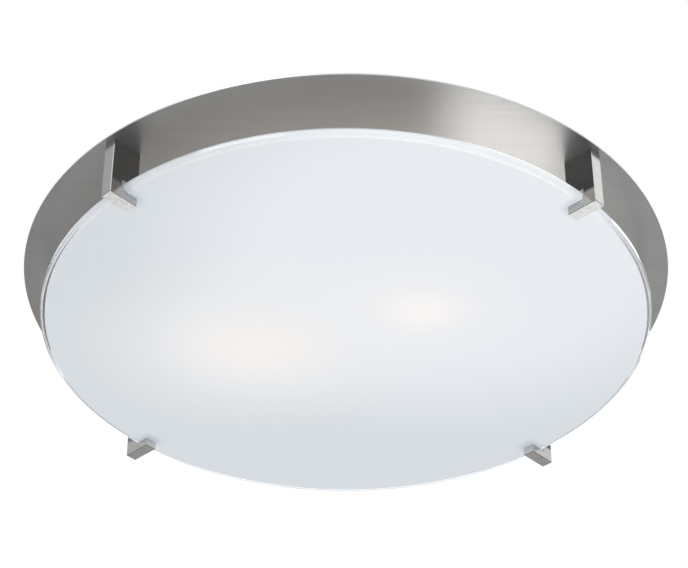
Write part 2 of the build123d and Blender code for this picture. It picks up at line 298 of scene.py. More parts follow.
@dataclass(frozen=True)
class Effect:
    """A node group that finishes share. It reads a place, and puts out masks and values.

    Its inputs are named with their usual values: a tuple makes a vector, and a float a number.
    """

    name: str
    draw: Callable[[Graph, bpy.types.NodeOutputs], tuple[Socket, ...]]
    takes: dict[str, object]
    gives: tuple[str, ...] = ("Mask",)

    def tree(self) -> bpy.types.NodeTree:
        """Builds the group the first time that it is asked for.

        Returns:
            The group.
        """
        found = bpy.data.node_groups.get(self.name)
        if found:
            return found
        made = bpy.data.node_groups.new(self.name, "ShaderNodeTree")
        for name, value in {"Vector": (0.0, 0.0, 0.0), **self.takes}.items():
            kind = "NodeSocketVector" if isinstance(value, tuple) else "NodeSocketFloat"
            socket = made.interface.new_socket(name=name, in_out="INPUT", socket_type=kind)
            socket.default_value = value
        for name in self.gives:
            made.interface.new_socket(name=name, in_out="OUTPUT", socket_type="NodeSocketFloat")
        graph = Graph(made)
        given, result = graph.node("NodeGroupInput"), graph.node("NodeGroupOutput")
        for name, drawn in zip(self.gives, self.draw(graph, given.outputs)):
            graph.feed(result.inputs[name], drawn)
        return made

    def place(self, graph: Graph, place: Socket, **values: object) -> bpy.types.NodeOutputs:
        """Puts the group into a material.

        Args:
            graph: The material's graph.
            place: The Object coordinates.
            values: What its other inputs get; an underscore in a name stands for a space.

        Returns:
            The group's outputs by name.
        """
        made = graph.node("Group", node_tree=self.tree())
        return graph.fill(made, Vector=place, **values).outputs


def draw_lines(graph: Graph, given: bpy.types.NodeOutputs) -> tuple[Socket, ...]:
    """Draws the lines that a belt or a die leaves in a metal: long, broken and of two widths.

    Args:
        graph: The group's graph.
        given: The group's inputs by name.

    Returns:
        The lines, and the height that they give the surface.
    """
    times_finer, wide_share = (3.1, 4.3, 4.3), 0.55
    wide = graph.noise(graph.stretched(given["Vector"], given["Stretch"]), 1.0, detail=3.0)
    finer = graph.math("MULTIPLY", given["Stretch"], times_finer, "VectorMath")
    fine = graph.noise(graph.stretched(given["Vector"], finer), 1.0)
    fine = graph.product(fine, round(1.0 - wide_share, 2))
    lines = graph.math("ADD", graph.product(wide, wide_share), fine)
    return graph.ramp(lines, low=0.34, high=0.66), lines


def draw_handling(graph: Graph, given: bpy.types.NodeOutputs) -> tuple[Socket, ...]:
    """Draws the broad dull clouds that handling leaves.

    Args:
        graph: The group's graph.
        given: The group's inputs by name.

    Returns:
        The clouds.
    """
    clouds = graph.noise(given["Vector"], given["Scale"], detail=3.0)
    return (graph.ramp(clouds, low=0.35, high=0.68),)


def draw_settled_dust(graph: Graph, given: bpy.types.NodeOutputs) -> tuple[Socket, ...]:
    """Draws the patches of dust that lie on surfaces that face up.

    Args:
        graph: The group's graph.
        given: The group's inputs by name.

    Returns:
        Where the dust lies.
    """
    upward = graph.split(graph.node("NewGeometry").outputs["Normal"])[2]
    cover = graph.ramp(upward, low=0.45, high=0.95)
    patches = graph.noise(given["Vector"], given["Scale"], detail=4.0)
    patches = graph.ramp(patches, low=0.38, high=0.62)
    return (graph.product(cover, patches, given["Amount"]),)


def draw_soft_spot(graph: Graph, given: bpy.types.NodeOutputs) -> tuple[Socket, ...]:
    """Draws a soft round or oval spot on a level surface.

    Args:
        graph: The group's graph.
        given: The group's inputs by name.

    Returns:
        The spot: 1 in its core, and 0 from its reach outwards.
    """
    shifted = graph.math("SUBTRACT", given["Vector"], given["Centre"], "VectorMath")
    sized = graph.math("DIVIDE", shifted, given["Reach"], "VectorMath")
    across, along, _ = graph.split(sized)
    squares = graph.math(
        "ADD", graph.math("POWER", across, 2.0), graph.math("POWER", along, 2.0)
    )
    far = graph.math("SQRT", squares)
    return (graph.ramp(far, given["Core"], 1.0, to_low=1.0, to_high=0.0),)


def draw_clip_shade(graph: Graph, given: bpy.types.NodeOutputs) -> tuple[Socket, ...]:
    """Draws the shade that the four clips' upper jaws throw on the frosted glass.

    Args:
        graph: The group's graph.
        given: The group's inputs by name.

    Returns:
        The shade, in all four places.
    """
    sharp_side = 0.6
    end, half, blur = given["Inner End"], given["Half Width"], given["Blur"]
    across, along, _ = graph.split(given["Vector"])
    across, along = graph.math("ABSOLUTE", across), graph.math("ABSOLUTE", along)
    out = graph.product(graph.math("ADD", across, along), DIAGONAL)
    aside = graph.math("ABSOLUTE", graph.math("SUBTRACT", across, along))
    aside = graph.product(aside, DIAGONAL)
    inner, outer = graph.math("SUBTRACT", end, blur), graph.math("ADD", end, blur)
    wide = graph.math("ADD", half, blur)
    narrow = graph.math("SUBTRACT", half, graph.product(blur, sharp_side))
    sideways = graph.ramp(aside, narrow, wide, to_low=1.0, to_high=0.0)
    return (graph.product(graph.ramp(out, inner, outer), sideways),)


def draw_flank_shade(graph: Graph, given: bpy.types.NodeOutputs) -> tuple[Socket, ...]:
    """Finds a clip's two flanks, which take painted shade: darker than its ground faces, for the
    dark reflections that they show.

    Args:
        graph: The group's graph.
        given: The group's inputs by name.

    Returns:
        The painted shade of the flanks, weaker on the foot.
    """
    foot_level, bar_level = -0.0875, -0.0845
    across, along, level = graph.split(given["Vector"])
    face_x, face_y, _ = graph.split(graph.node("NewGeometry").outputs["Normal"])
    outward = graph.product(graph.math("SIGN", across), face_x)
    outward = graph.math("ADD", outward, graph.product(graph.math("SIGN", along), face_y))
    outward = graph.ramp(graph.math("ABSOLUTE", outward), low=0.3, high=0.8)
    upright = graph.math(
        "ADD", graph.math("ABSOLUTE", face_x), graph.math("ABSOLUTE", face_y)
    )
    flank_shade = graph.math("SUBTRACT", graph.ramp(upright, low=0.6, high=1.2), outward)
    share = graph.ramp(level, foot_level, bar_level, to_low=given["Foot Share"])
    return (graph.product(graph.math("MAXIMUM", flank_shade, 0.0), share),)


DRAWN_LINES = Effect(
    "drawn_lines", draw_lines, {"Stretch": Grain.ALONG_X.value}, ("Lines", "Height")
)
HANDLING = Effect("handling", draw_handling, {"Scale": 18.0}, ("Clouds",))
SETTLED_DUST = Effect("settled_dust", draw_settled_dust, {"Scale": 60.0, "Amount": 0.3})
SOFT_SPOT = Effect(
    "soft_spot",
    draw_soft_spot,
    {"Centre": (0.0, 0.0, 0.0), "Reach": (0.1, 0.1, 1.0), "Core": 0.1},
)
CLIP_SHADE = Effect(
    "clip_shade", draw_clip_shade, {"Inner End": 0.1765, "Half Width": 0.0046, "Blur": 0.0048}
)
FLANK_SHADE = Effect("flank_shade", draw_flank_shade, {"Foot Share": 0.3})


# ---------------------------------------------------------------------------
# Finishes
# ---------------------------------------------------------------------------


@dataclass(frozen=True)
class Finish:
    """What every finish has: its name, its colour, how it shines and how uneven it is.

    The scales are the patterns' features per metre, and the bump is a depth in metres.
    """

    name: str
    colour: Rgb
    roughness: float = 0.5
    metallic: float = 0.0
    uneven: float = 0.08
    dusty: float = 0.25
    bump: float = 0.00002
    cloud_scale: float = 24.0
    fine_scale: float = 1400.0

    def material(self) -> bpy.types.Material:
        """Builds the finish's material the first time that it is asked for.

        Returns:
            The material.
        """
        found = bpy.data.materials.get(f"look_{self.name}")
        if found:
            return found
        made = bpy.data.materials.new(f"look_{self.name}")
        made.use_nodes = True
        made.diffuse_color = (*self.colour, 1.0)
        graph = Graph(made.node_tree)
        graph.tree.nodes.clear()
        shader = graph.fill(graph.node("BsdfPrincipled"), Metallic=self.metallic)
        graph.fill(graph.node("OutputMaterial"), Surface=shader.outputs["BSDF"])
        self.dress(graph, shader, graph.node("TexCoord").outputs["Object"])
        return made

    def dress(self, graph: Graph, shader: bpy.types.Node, place: Socket) -> None:
        """Fills in colour, roughness and bump.

        Args:
            graph: The material's graph.
            shader: Its Principled BSDF.
            place: The Object coordinates.
        """
        clouds = HANDLING.place(graph, place, Scale=self.cloud_scale)["Clouds"]
        colour = graph.mix(clouds, scaled(self.colour, 1.0 - self.uneven), self.colour)
        rough = graph.ramp(
            clouds, to_low=self.roughness + self.uneven, to_high=self.roughness
        )
        graph.fill(shader, Base_Color=self.dusted(graph, place, colour), Roughness=rough)
        self.bumped(graph, shader, graph.noise(place, self.fine_scale, detail=3.0))

    def dusted(self, graph: Graph, place: Socket, colour: Socket) -> Socket:
        """Lays dust over a colour where the surface faces up.

        Args:
            graph: The material's graph.
            place: The Object coordinates.
            colour: The colour without dust.

        Returns:
            The colour with dust.
        """
        if not self.dusty:
            return colour
        dust = SETTLED_DUST.place(graph, place, Amount=self.dusty)["Mask"]
        return graph.mix(dust, colour, DUST_COLOUR)

    def bumped(self, graph: Graph, shader: bpy.types.Node, height: Socket) -> None:
        """Feeds a height, in steps of the finish's own bump, to the shader's normal."""
        bump = graph.fill(graph.node("Bump"), Distance=self.bump, Height=height)
        graph.fill(shader, Normal=bump.outputs["Normal"])


@dataclass(frozen=True)
class DrawnMetal(Finish):
    """A bright metal with drawn lines, as brushed nickel has, or with none, as a plated screw.

    A clip's flanks take two shares of the colour as painted shade, one on the left and one on the
    right.
    """

    metallic: float = 1.0
    cloud_scale: float = 9.0
    grain: Grain = Grain.ALONG_X
    contrast: float = 0.10
    spread: float = 0.02
    across: float = 0.0
    # The flanks' painted shade: the shares on the left and right, and where the one gives way to the
    # other.
    flank_shade_tones: Pair = (1.0, 1.0)
    flank_shade_places: Pair = (-0.1, 0.1)

    def dress(self, graph: Graph, shader: bpy.types.Node, place: Socket) -> None:
        """Fills in the drawn lines, the dull clouds between them, the painted shade on a clip's
        flanks and the dust on top.

        Args:
            graph: The material's graph.
            shader: Its Principled BSDF.
            place: The Object coordinates.
        """
        lines = DRAWN_LINES.place(graph, place, Stretch=self.grain.value)
        clouds = HANDLING.place(graph, place, Scale=self.cloud_scale)["Clouds"]
        dark = scaled(self.colour, 1.0 - self.contrast)
        light = scaled(self.colour, 1.0 + self.contrast)
        colour = graph.mix(lines["Lines"], dark, light)
        colour = graph.mix(graph.product(clouds, self.uneven), colour, dark)
        # Painted shade: a clip's flanks are darkened, more on the right clips than on the left ones.
        if min(self.flank_shade_tones) < 1.0:
            left, right = (scaled(self.colour, tone) for tone in self.flank_shade_tones)
            where = graph.ramp(graph.split(place)[0], *self.flank_shade_places)
            flank_shade = FLANK_SHADE.place(graph, place)["Mask"]
            colour = graph.mix(flank_shade, colour, graph.mix(where, left, right))
        rough = graph.ramp(
            lines["Lines"],
            to_low=self.roughness + self.spread,
            to_high=self.roughness - self.spread,
        )
        rough = graph.math("ADD", rough, graph.product(clouds, self.uneven * 0.5))
        graph.fill(shader, Base_Color=self.dusted(graph, place, colour), Roughness=rough)
        if self.across:
            lie = graph.fill(graph.node("CombineXYZ"), Y=1.0).outputs["Vector"]
            graph.fill(shader, Anisotropic=self.across, Tangent=lie)
        self.bumped(graph, shader, lines["Height"])


@dataclass(frozen=True)
class Glow:
    """One oval patch of painted light on the frosted glass: its place, its reach, its core and
    colour.
    """

    centre: Pair
    reach: Pair
    core: float
    colour: Rgb

    def mask(self, graph: Graph, place: Socket) -> Socket:
        """Draws the patch.

        Args:
            graph: The material's graph.
            place: The Object coordinates.

        Returns:
            Where the patch lies.
        """
        centre, reach = (*self.centre, 0.0), (*self.reach, 1.0)
        spot = SOFT_SPOT.place(graph, place, Centre=centre, Reach=reach, Core=self.core)
        return spot["Mask"]


@dataclass(frozen=True)
class EtchedGlass(Finish):
    """The frosted white glass, lit from inside by painted light in its emission: two painted glows
    in a broad halo, a painted shade at each clip.

    The colours of the glows are as they are seen, so the share that the room's own light adds is
    taken off. The wall is the side of the etched pane, seen through the clear border, and the
    upper face shows through that border and in the mirror of the brim.
    """

    fine_scale: float = 2600.0
    spread: float = 0.05
    pale: float = 0.985
    # Painted light from inside: the emission of the lower face away from the glows.
    rim_light: Rgb = (0.679, 0.723, 0.761)
    room_share: Rgb = (0.227, 0.234, 0.242)
    # Painted shade at each clip, in the colour and the emission.
    shade: Rgb = (0.36, 0.42, 0.50)
    shade_depth: float = 0.45
    wall_levels: Pair = (-0.08990, -0.08985)
    # Painted light of the wall, paler on the near and far sides.
    wall_light: Rgb = (0.30, 0.31, 0.33)
    near_wall_light: Rgb = (0.53, 0.545, 0.565)
    near_wall_across: Pair = (-0.130, 0.060)
    near_wall_along: Levels = (-0.130, -0.085, 1.0, 0.0)
    far_wall_light: Rgb = (0.37, 0.385, 0.40)
    far_wall_along: Pair = (0.015, 0.060)
    # Painted light of the upper face, and a painted patch of light that the brim reflects as its
    # highlight.
    upper_levels: Pair = (-0.0850, -0.0842)
    upper_light: Rgb = (0.08, 0.08, 0.08)
    painted_leak_light: Rgb = (0.93, 0.925, 0.915)
    painted_leak_start: Pair = (0.034, 0.080)
    painted_leak_end: Levels = (0.112, 0.145, 1.0, 0.17)
    painted_leak_along: Levels = (-0.03, 0.0, 1.0, 0.0)
    # Painted glows: one in the middle of the upper face, and the lower face's halo and lamp spots.
    middle: Glow = Glow((0.0, 0.0), (0.180, 0.180), 0.62, (0.26, 0.25, 0.24))
    glows: tuple[Glow, ...] = (
        Glow((0.060, -0.080), (0.215, 0.215), 0.45, (0.815, 0.847, 0.888)),
        Glow((-0.060, 0.016), (0.130, 0.112), 0.05, (0.862, 0.866, 0.880)),
        Glow((0.040, -0.028), (0.080, 0.066), 0.10, (0.868, 0.875, 0.892)),
        Glow((-0.055, 0.016), (0.066, 0.048), 0.05, (0.912, 0.884, 0.868)),
        Glow((0.047, -0.026), (0.036, 0.028), 0.15, (0.945, 0.925, 0.920)),
    )

    def dress(self, graph: Graph, shader: bpy.types.Node, place: Socket) -> None:
        """Fills in the etched white, and paints its light from inside, the glows and the clips'
        shade.

        Args:
            graph: The material's graph.
            shader: Its Principled BSDF.
            place: The Object coordinates.
        """
        frost = graph.noise(place, self.fine_scale)
        # Painted shade: the clips' jaws darken the colour and the emission here.
        shade = graph.product(CLIP_SHADE.place(graph, place)["Mask"], self.shade_depth)
        pale = scaled(self.colour, self.pale)
        white = graph.mix(graph.ramp(frost, *NOISE_MIDDLE), pale, self.colour)
        rough = (self.roughness - self.spread, self.roughness + self.spread)
        graph.fill(
            shader,
            Base_Color=graph.mix(shade, white, self.shade),
            Roughness=graph.ramp(frost, *NOISE_MOST, *rough),
        )
        # Painted light: the emission stands for the lamps' light through the glass.
        light: object = self.from_inside(self.rim_light)
        for glow in self.glows:
            light = graph.mix(glow.mask(graph, place), light, self.from_inside(glow.colour))
        light = graph.mix(shade, light, self.from_inside(self.shade))
        graph.light_up(shader, self.upper_lit(graph, place, self.wall_lit(graph, place, light)))
        self.bumped(graph, shader, frost)

    def wall_lit(self, graph: Graph, place: Socket, light: Socket) -> Socket:
        """Lays the wall's painted light over the lower face's: paler on the near side and the far
        one.

        Args:
            graph: The material's graph.
            place: The Object coordinates.
            light: The light of the lower face.

        Returns:
            The light of both.
        """
        across, along, level = graph.split(place)
        near = graph.product(
            graph.ramp(across, *self.near_wall_across), graph.ramp(along, *self.near_wall_along)
        )
        wall = graph.mix(near, self.wall_light, self.near_wall_light)
        wall = graph.mix(graph.ramp(along, *self.far_wall_along), wall, self.far_wall_light)
        return graph.mix(graph.ramp(level, *self.wall_levels), light, wall)

    def upper_lit(self, graph: Graph, place: Socket, light: Socket) -> Socket:
        """Lays the upper face's painted light over the rest, with a painted patch for the lamps'
        light that leaks past it, which the brim reflects as its highlight.

        Args:
            graph: The material's graph.
            place: The Object coordinates.
            light: The light of the lower face and the wall.

        Returns:
            The light of all three.
        """
        across, along, level = graph.split(place)
        # Painted highlight: a patch of light on the upper face, for the brim to reflect.
        painted_leak = graph.product(
            graph.ramp(across, *self.painted_leak_start),
            graph.ramp(across, *self.painted_leak_end),
            graph.ramp(along, *self.painted_leak_along),
        )
        middle = self.middle.mask(graph, place)
        upper = graph.mix(middle, self.upper_light, self.middle.colour)
        upper = graph.mix(painted_leak, upper, self.painted_leak_light)
        return graph.mix(graph.ramp(level, *self.upper_levels), light, upper)

    def from_inside(self, seen: Rgb) -> Rgb:
        """The part of a seen colour that is painted into the emission, as light from the lamps
        through the glass.
        """
        return tuple(max(0.0, total - room) for total, room in zip(seen, self.room_share))


@dataclass(frozen=True)
class FibreMat(Finish):
    """A mat of loose fibres that lie both ways, as glass wool has."""

    fine_scale: float = 95.0
    spread: float = 0.15
    shadow: Rgb = (0.50, 0.44, 0.29)
    fibre_share: float = 0.55
    fibre_tone: float = 1.18
    layers: tuple[Rgb, Rgb] = ((110.0, 900.0, 500.0), (800.0, 130.0, 500.0))

    def dress(self, graph: Graph, shader: bpy.types.Node, place: Socket) -> None:
        """Fills in two crossing layers of fibres with painted shade in the hollows between them.

        Args:
            graph: The material's graph.
            shader: Its Principled BSDF.
            place: The Object coordinates.
        """
        first, second = (
            DRAWN_LINES.place(graph, place, Stretch=layer)["Lines"] for layer in self.layers
        )
        fibres = graph.math("MAXIMUM", first, second)
        tufts = graph.noise(place, self.fine_scale, detail=3.0)
        # Painted shade: the shadow colour darkens the hollows, where the tufts' noise is low.
        colour = graph.mix(graph.ramp(tufts, *NOISE_MIDDLE), self.shadow, self.colour)
        pale = scaled(self.colour, self.fibre_tone)
        colour = graph.mix(graph.product(fibres, self.fibre_share), colour, pale)
        rough = graph.ramp(
            fibres, to_low=self.roughness, to_high=self.roughness - self.spread
        )
        graph.fill(shader, Base_Color=colour, Roughness=rough)
        self.bumped(graph, shader, graph.math("ADD", fibres, tufts))


@dataclass(frozen=True)
class ClearGlass(Finish):
    """Clear glass: the polished rim of the disc, or the lamp's inner stem.

    The rim pipes light from the frosted pane, which shows on its far side as a painted glow in the
    emission, over a darker tint.
    """

    fine_scale: float = 320.0
    spread: float = 0.03
    bending: float = 1.52
    tint: Rgb = (0.93, 0.97, 0.96)
    piped_light: Rgb = BLACK
    piped_tint: Rgb = (0.60, 0.61, 0.62)
    piped_from: Pair = (0.02, 0.075)

    def dress(self, graph: Graph, shader: bpy.types.Node, place: Socket) -> None:
        """Fills in a clear body with the faint waves that polishing leaves.

        Args:
            graph: The material's graph.
            shader: Its Principled BSDF.
            place: The Object coordinates.
        """
        waves = graph.noise(place, self.fine_scale)
        body = graph.mix(waves, self.tint, self.colour)
        # Painted glow: the rim's far side takes a darker tint and gives off the piped light.
        if max(self.piped_light) > 0.0:
            piped = graph.ramp(graph.split(place)[1], *self.piped_from)
            body = graph.mix(piped, body, self.piped_tint)
            graph.light_up(shader, graph.mix(piped, BLACK, self.piped_light))
        rough = (self.roughness, self.roughness + self.spread)
        graph.fill(
            shader,
            Base_Color=body,
            Roughness=graph.ramp(waves, *NOISE_MOST, *rough),
            IOR=self.bending,
            Transmission_Weight=1.0,
        )
        self.bumped(graph, shader, waves)


@dataclass(frozen=True)
class OpalBulb(Finish):
    """A lit opal lamp: a warm white that is brightest at the middle of the ball."""

    fine_scale: float = 700.0
    spread: float = 0.06
    pale: float = 0.96
    coat: float = 0.35
    glow: Rgb = (1.0, 0.90, 0.76)
    edge: Rgb = (0.72, 0.62, 0.50)
    neck_to_ball: Pair = (0.012, 0.05)

    def dress(self, graph: Graph, shader: bpy.types.Node, place: Socket) -> None:
        """Fills in the opal coat and its glow, which falls off towards the neck.

        Args:
            graph: The material's graph.
            shader: Its Principled BSDF.
            place: The Object coordinates.
        """
        coat = graph.noise(place, self.fine_scale, detail=3.0)
        from_middle = graph.math("ABSOLUTE", graph.split(place)[0])
        lit = graph.ramp(from_middle, *self.neck_to_ball)
        graph.light_up(shader, graph.mix(lit, self.edge, self.glow))
        rough = (self.roughness, self.roughness + self.spread)
        graph.fill(
            shader,
            Base_Color=graph.mix(coat, scaled(self.colour, self.pale), self.colour),
            Roughness=graph.ramp(coat, *NOISE_MOST, *rough),
            Coat_Weight=self.coat,
        )
        self.bumped(graph, shader, coat)


class Look(Enum):
    """Every finish of the light, under the record's name for its material slot."""

    BRUSHED_NICKEL = DrawnMetal(
        "brushed_nickel",
        (0.63, 0.622, 0.615),
        roughness=0.38,
        uneven=0.05,
        contrast=0.018,
        across=0.55,
    )
    CLIP_NICKEL = DrawnMetal(
        "clip_nickel",
        (0.68, 0.675, 0.665),
        roughness=0.20,
        uneven=0.05,
        grain=Grain.NONE,
        contrast=0.03,
        bump=0.000004,
        # Painted shade on the flanks: the left clips' share, and the darker right clips' share.
        flank_shade_tones=(0.36, 0.12),
    )
    FROSTED_GLASS = EtchedGlass(
        "frosted_glass", (0.82, 0.835, 0.85), roughness=0.62, bump=0.000004
    )
    CLEAR_RIM = ClearGlass(
        "clear_rim",
        (0.93, 0.94, 0.95),
        roughness=0.045,
        bump=0.0000008,
        tint=(0.90, 0.93, 0.93),
        # Painted glow on the rim's far side.
        piped_light=(0.20, 0.21, 0.22),
    )
    SILICONE = Finish("silicone", (0.80, 0.80, 0.79), roughness=0.55, dusty=0.0)
    ZINC_STEEL = DrawnMetal(
        "zinc_steel", (0.62, 0.63, 0.64), roughness=0.36, grain=Grain.NONE, contrast=0.08
    )
    NICKEL_HARDWARE = DrawnMetal(
        "nickel_hardware", (0.63, 0.60, 0.55), roughness=0.26, grain=Grain.NONE, contrast=0.05
    )
    GROUND_GREEN = Finish("ground_green", (0.03, 0.23, 0.08), roughness=0.38, metallic=0.4)
    GLASS_FIBRE = FibreMat("glass_fibre", (0.74, 0.68, 0.50), roughness=0.95, bump=0.0005)
    NYLON = Finish("nylon", (0.045, 0.045, 0.048), roughness=0.48)
    WHITE_STEEL = Finish("white_steel", (0.80, 0.80, 0.78), roughness=0.42, uneven=0.04)
    RIVET_ALUMINIUM = DrawnMetal(
        "rivet_aluminium", (0.80, 0.81, 0.82), roughness=0.38, grain=Grain.NONE
    )
    PORCELAIN = Finish("porcelain", (0.82, 0.80, 0.75), roughness=0.22, uneven=0.05)
    SOCKET_BRASS = DrawnMetal(
        "socket_brass", (0.75, 0.56, 0.28), roughness=0.30, grain=Grain.NONE, contrast=0.08
    )
    LEAD_BLACK = Finish("lead_black", (0.022, 0.022, 0.024), roughness=0.45, uneven=0.2)
    LEAD_WHITE = Finish("lead_white", (0.76, 0.75, 0.71), roughness=0.45, uneven=0.06)
    OPAL_BULB = OpalBulb(
        "opal_bulb", (0.88, 0.86, 0.82), roughness=0.30, dusty=0.0, bump=0.000004
    )
    BULB_BASE = DrawnMetal(
        "bulb_base", (0.78, 0.77, 0.73), roughness=0.24, grain=Grain.NONE, contrast=0.05
    )
    BULB_INSULATOR = Finish(
        "bulb_insulator", (0.016, 0.015, 0.020), roughness=0.12, uneven=0.1, dusty=0.0
    )
    SOLDER = DrawnMetal(
        "solder", (0.66, 0.66, 0.65), roughness=0.34, grain=Grain.NONE, contrast=0.12
    )
    CLEAR_GLASS = ClearGlass("clear_glass", (0.97, 0.99, 0.98), roughness=0.02, bump=0.000003)
    TUNGSTEN = DrawnMetal("tungsten", (0.42, 0.41, 0.40), roughness=0.42, grain=Grain.NONE)

    @property
    def slot(self) -> str:
        """The record's material slot that this finish belongs to."""
        return "frosted_glass" if self is Look.CLEAR_RIM else self.value.name


def dress_nodes(nodes: dict[str, bpy.types.Object]) -> None:
    """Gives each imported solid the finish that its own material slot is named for.

    Args:
        nodes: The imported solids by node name.
    """
    looks = {look.slot: look for look in Look if look is not Look.CLEAR_RIM}
    for name, solid in sorted(nodes.items()):
        for slot in solid.material_slots:
            slot.material = looks[slot.material.name.split(".")[0]].value.material()
        LOG.info("dressed %s", name)


# ---------------------------------------------------------------------------
# Modelling
# ---------------------------------------------------------------------------


def let_go() -> None:
    """Leaves edit mode and deselects everything, so that no step touches another object."""
    if bpy.context.object and bpy.context.object.mode != "OBJECT":
        bpy.ops.object.mode_set(mode="OBJECT")
    for other in bpy.context.selected_objects:
        other.select_set(False)


def take_up(piece: bpy.types.Object) -> None:
    """Makes a piece the only one selected, and the active one.

    Args:
        piece: The piece.
    """
    let_go()
    piece.select_set(True)
    bpy.context.view_layer.objects.active = piece


def copied(piece: bpy.types.Object, name: str) -> bpy.types.Object:
    """Copies a piece, with a mesh of its own.

    Args:
        piece: What is copied, which stays as it is.
        name: The copy's name.

    Returns:
        The copy.
    """
    take_up(piece)
    bpy.ops.object.duplicate(linked=False)
    made = bpy.context.object
    made.name = made.data.name = name
    return made


def edit_all(kind: str = "VERT", action: str = "SELECT") -> None:
    """Goes to edit mode with everything selected, or nothing.

    Args:
        kind: What is selected: "VERT", "EDGE" or "FACE".
        action: "SELECT" or "DESELECT".
    """
    bpy.ops.object.mode_set(mode="EDIT")
    bpy.ops.mesh.select_mode(type=kind)
    bpy.ops.mesh.select_all(action=action)


def lies_level(face: bmesh.types.BMFace) -> bool:
    """Whether a face looks straight up or down."""
    return abs(face.normal.z) > LEVEL_NORMAL


class Bench:
    """Where a piece is modelled: the steps that a modeller takes by hand, as operators."""

    def __init__(self, name: str) -> None:
        """Keeps the name of the piece that is being made."""
        self.name = name

    @property
    def piece(self) -> bpy.types.Object:
        """The object on the bench."""
        return bpy.data.objects[self.name]

    def name_new(self) -> None:
        """Gives the object that was just added the piece's name."""
        bpy.context.object.name = bpy.context.object.data.name = self.name

    def start_cylinder(self, radius: float, bottom: float, top: float, sides: int) -> Bench:
        """Adds a closed cylinder about the Z axis.

        Args:
            radius: Its radius.
            bottom: The level of its lower face.
            top: The level of its upper face.
            sides: How many sides it has.

        Returns:
            This bench, for the next step.
        """
        let_go()
        middle = (0.0, 0.0, (top + bottom) / 2.0)
        bpy.ops.mesh.primitive_cylinder_add(
            vertices=sides, radius=radius, depth=top - bottom, location=middle
        )
        self.name_new()
        bpy.ops.object.transform_apply(location=True, rotation=True, scale=True)
        return self

    def start_profile(self, points: list[Pair]) -> Bench:
        """Draws a profile in the XZ plane by extruding one vertex from point to point.

        Args:
            points: The radius and level of each point.

        Returns:
            This bench, for the next step.
        """
        let_go()
        bpy.ops.mesh.primitive_plane_add(size=MM, location=(0.0, 0.0, 0.0))
        self.name_new()
        edit_all()
        bpy.ops.mesh.merge(type="CENTER")
        bpy.ops.transform.translate(value=(points[0][0], 0.0, points[0][1]))
        for (radius, level), (next_radius, next_level) in zip(points, points[1:]):
            move = {"value": (next_radius - radius, 0.0, next_level - level)}
            bpy.ops.mesh.extrude_region_move(TRANSFORM_OT_translate=move)
        return self

    def start_copy(self, solid: bpy.types.Object) -> Bench:
        """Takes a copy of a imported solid, with its loose triangles merged into whole faces.

        Args:
            solid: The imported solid, which stays as it is.

        Returns:
            This bench, for the next step.
        """
        copied(solid, self.name)
        edit_all()
        bpy.ops.mesh.remove_doubles(threshold=SAME_PACKED_POINT)
        bpy.ops.mesh.dissolve_limited(angle_limit=math.radians(FLAT_DEGREES))
        bpy.ops.object.mode_set(mode="OBJECT")
        return self

    def spin(self, sides: int) -> Bench:
        """Spins the drawn profile a whole turn about the Z axis.

        Args:
            sides: How many sides the turn takes.

        Returns:
            This bench, for the next step.
        """
        bpy.ops.mesh.select_all(action="SELECT")
        bpy.ops.mesh.spin(steps=sides, angle=TURN, center=(0.0, 0.0, 0.0), axis=(0.0, 0.0, 1.0))
        bpy.ops.mesh.select_all(action="SELECT")
        bpy.ops.mesh.remove_doubles(threshold=SAME_POINT)
        return self

    def roll_thread(self, thread: Thread, radius: float, bottom: float, top: float) -> Bench:
        """Rolls a thread into the round surface of one radius.

        Args:
            thread: The thread.
            radius: The radius of the surface before it.
            bottom: Where it starts.
            top: Where it ends.

        Returns:
            This bench, for the next step.
        """
        bpy.ops.object.mode_set(mode="OBJECT")
        for vertex in self.piece.data.vertices:
            across, along, level = vertex.co
            if abs(math.hypot(across, along) - radius) < SAME_PLACE and bottom <= level <= top:
                depth = thread.sink(math.atan2(along, across), level, bottom, top)
                share = 1.0 - depth / radius
                vertex.co = (across * share, along * share, level)
        return self

    def turn_rod(
        self, thread: Thread, radius: float, span: Pair, ends: tuple[Outline, Outline], sides: int
    ) -> Bench:
        """Turns a rod with a thread on it.

        Args:
            thread: The thread.
            radius: The radius over the thread.
            span: The levels where the thread starts and ends.
            ends: The rod's profile before the thread, and after it.
            sides: How many sides it has.

        Returns:
            This bench, for the next step.
        """
        wall = [(radius, level) for level in thread.levels(*span)]
        self.start_profile([*ends[0], *wall, *ends[1]]).spin(sides)
        return self.roll_thread(thread, radius, *span)

    def roll_cup(
        self,
        thread: Thread,
        radii: Pair,
        span: Pair,
        mouth: float,
        feet: tuple[Outline, Outline],
        sides: int,
    ) -> Bench:
        """Spins a thin cup and rolls a thread into its wall, outside and inside.

        Args:
            thread: The thread.
            radii: The wall's outer and inner radius.
            span: The levels where the thread starts and ends.
            mouth: The level of the open end.
            feet: The cup's profile before the outer wall, and after the inner one.
            sides: How many sides it has.

        Returns:
            This bench, for the next step.
        """
        outer, inner = radii
        levels = thread.levels(*span)
        outside = [*feet[0], *((outer, level) for level in levels), (outer, mouth)]
        inside = [(inner, mouth), *((inner, level) for level in reversed(levels)), *feet[1]]
        self.start_profile(outside + inside).spin(sides)
        self.roll_thread(thread, outer, *span)
        return self.roll_thread(thread, inner, *span)

    def cut_slot(self, wide: float, long: float, bottom: float, top: float) -> Bench:
        """Cuts a driver's slot right across a head.

        Args:
            wide: The width of the slot.
            long: The length of the cutter.
            bottom: The lower level of the cut.
            top: The upper level of the cut.

        Returns:
            This bench, for the next step.
        """
        let_go()
        bpy.ops.mesh.primitive_cube_add(
            size=1.0, location=(0.0, 0.0, (bottom + top) / 2.0), scale=(wide, long, top - bottom)
        )
        return self.cut_with(bpy.context.object)

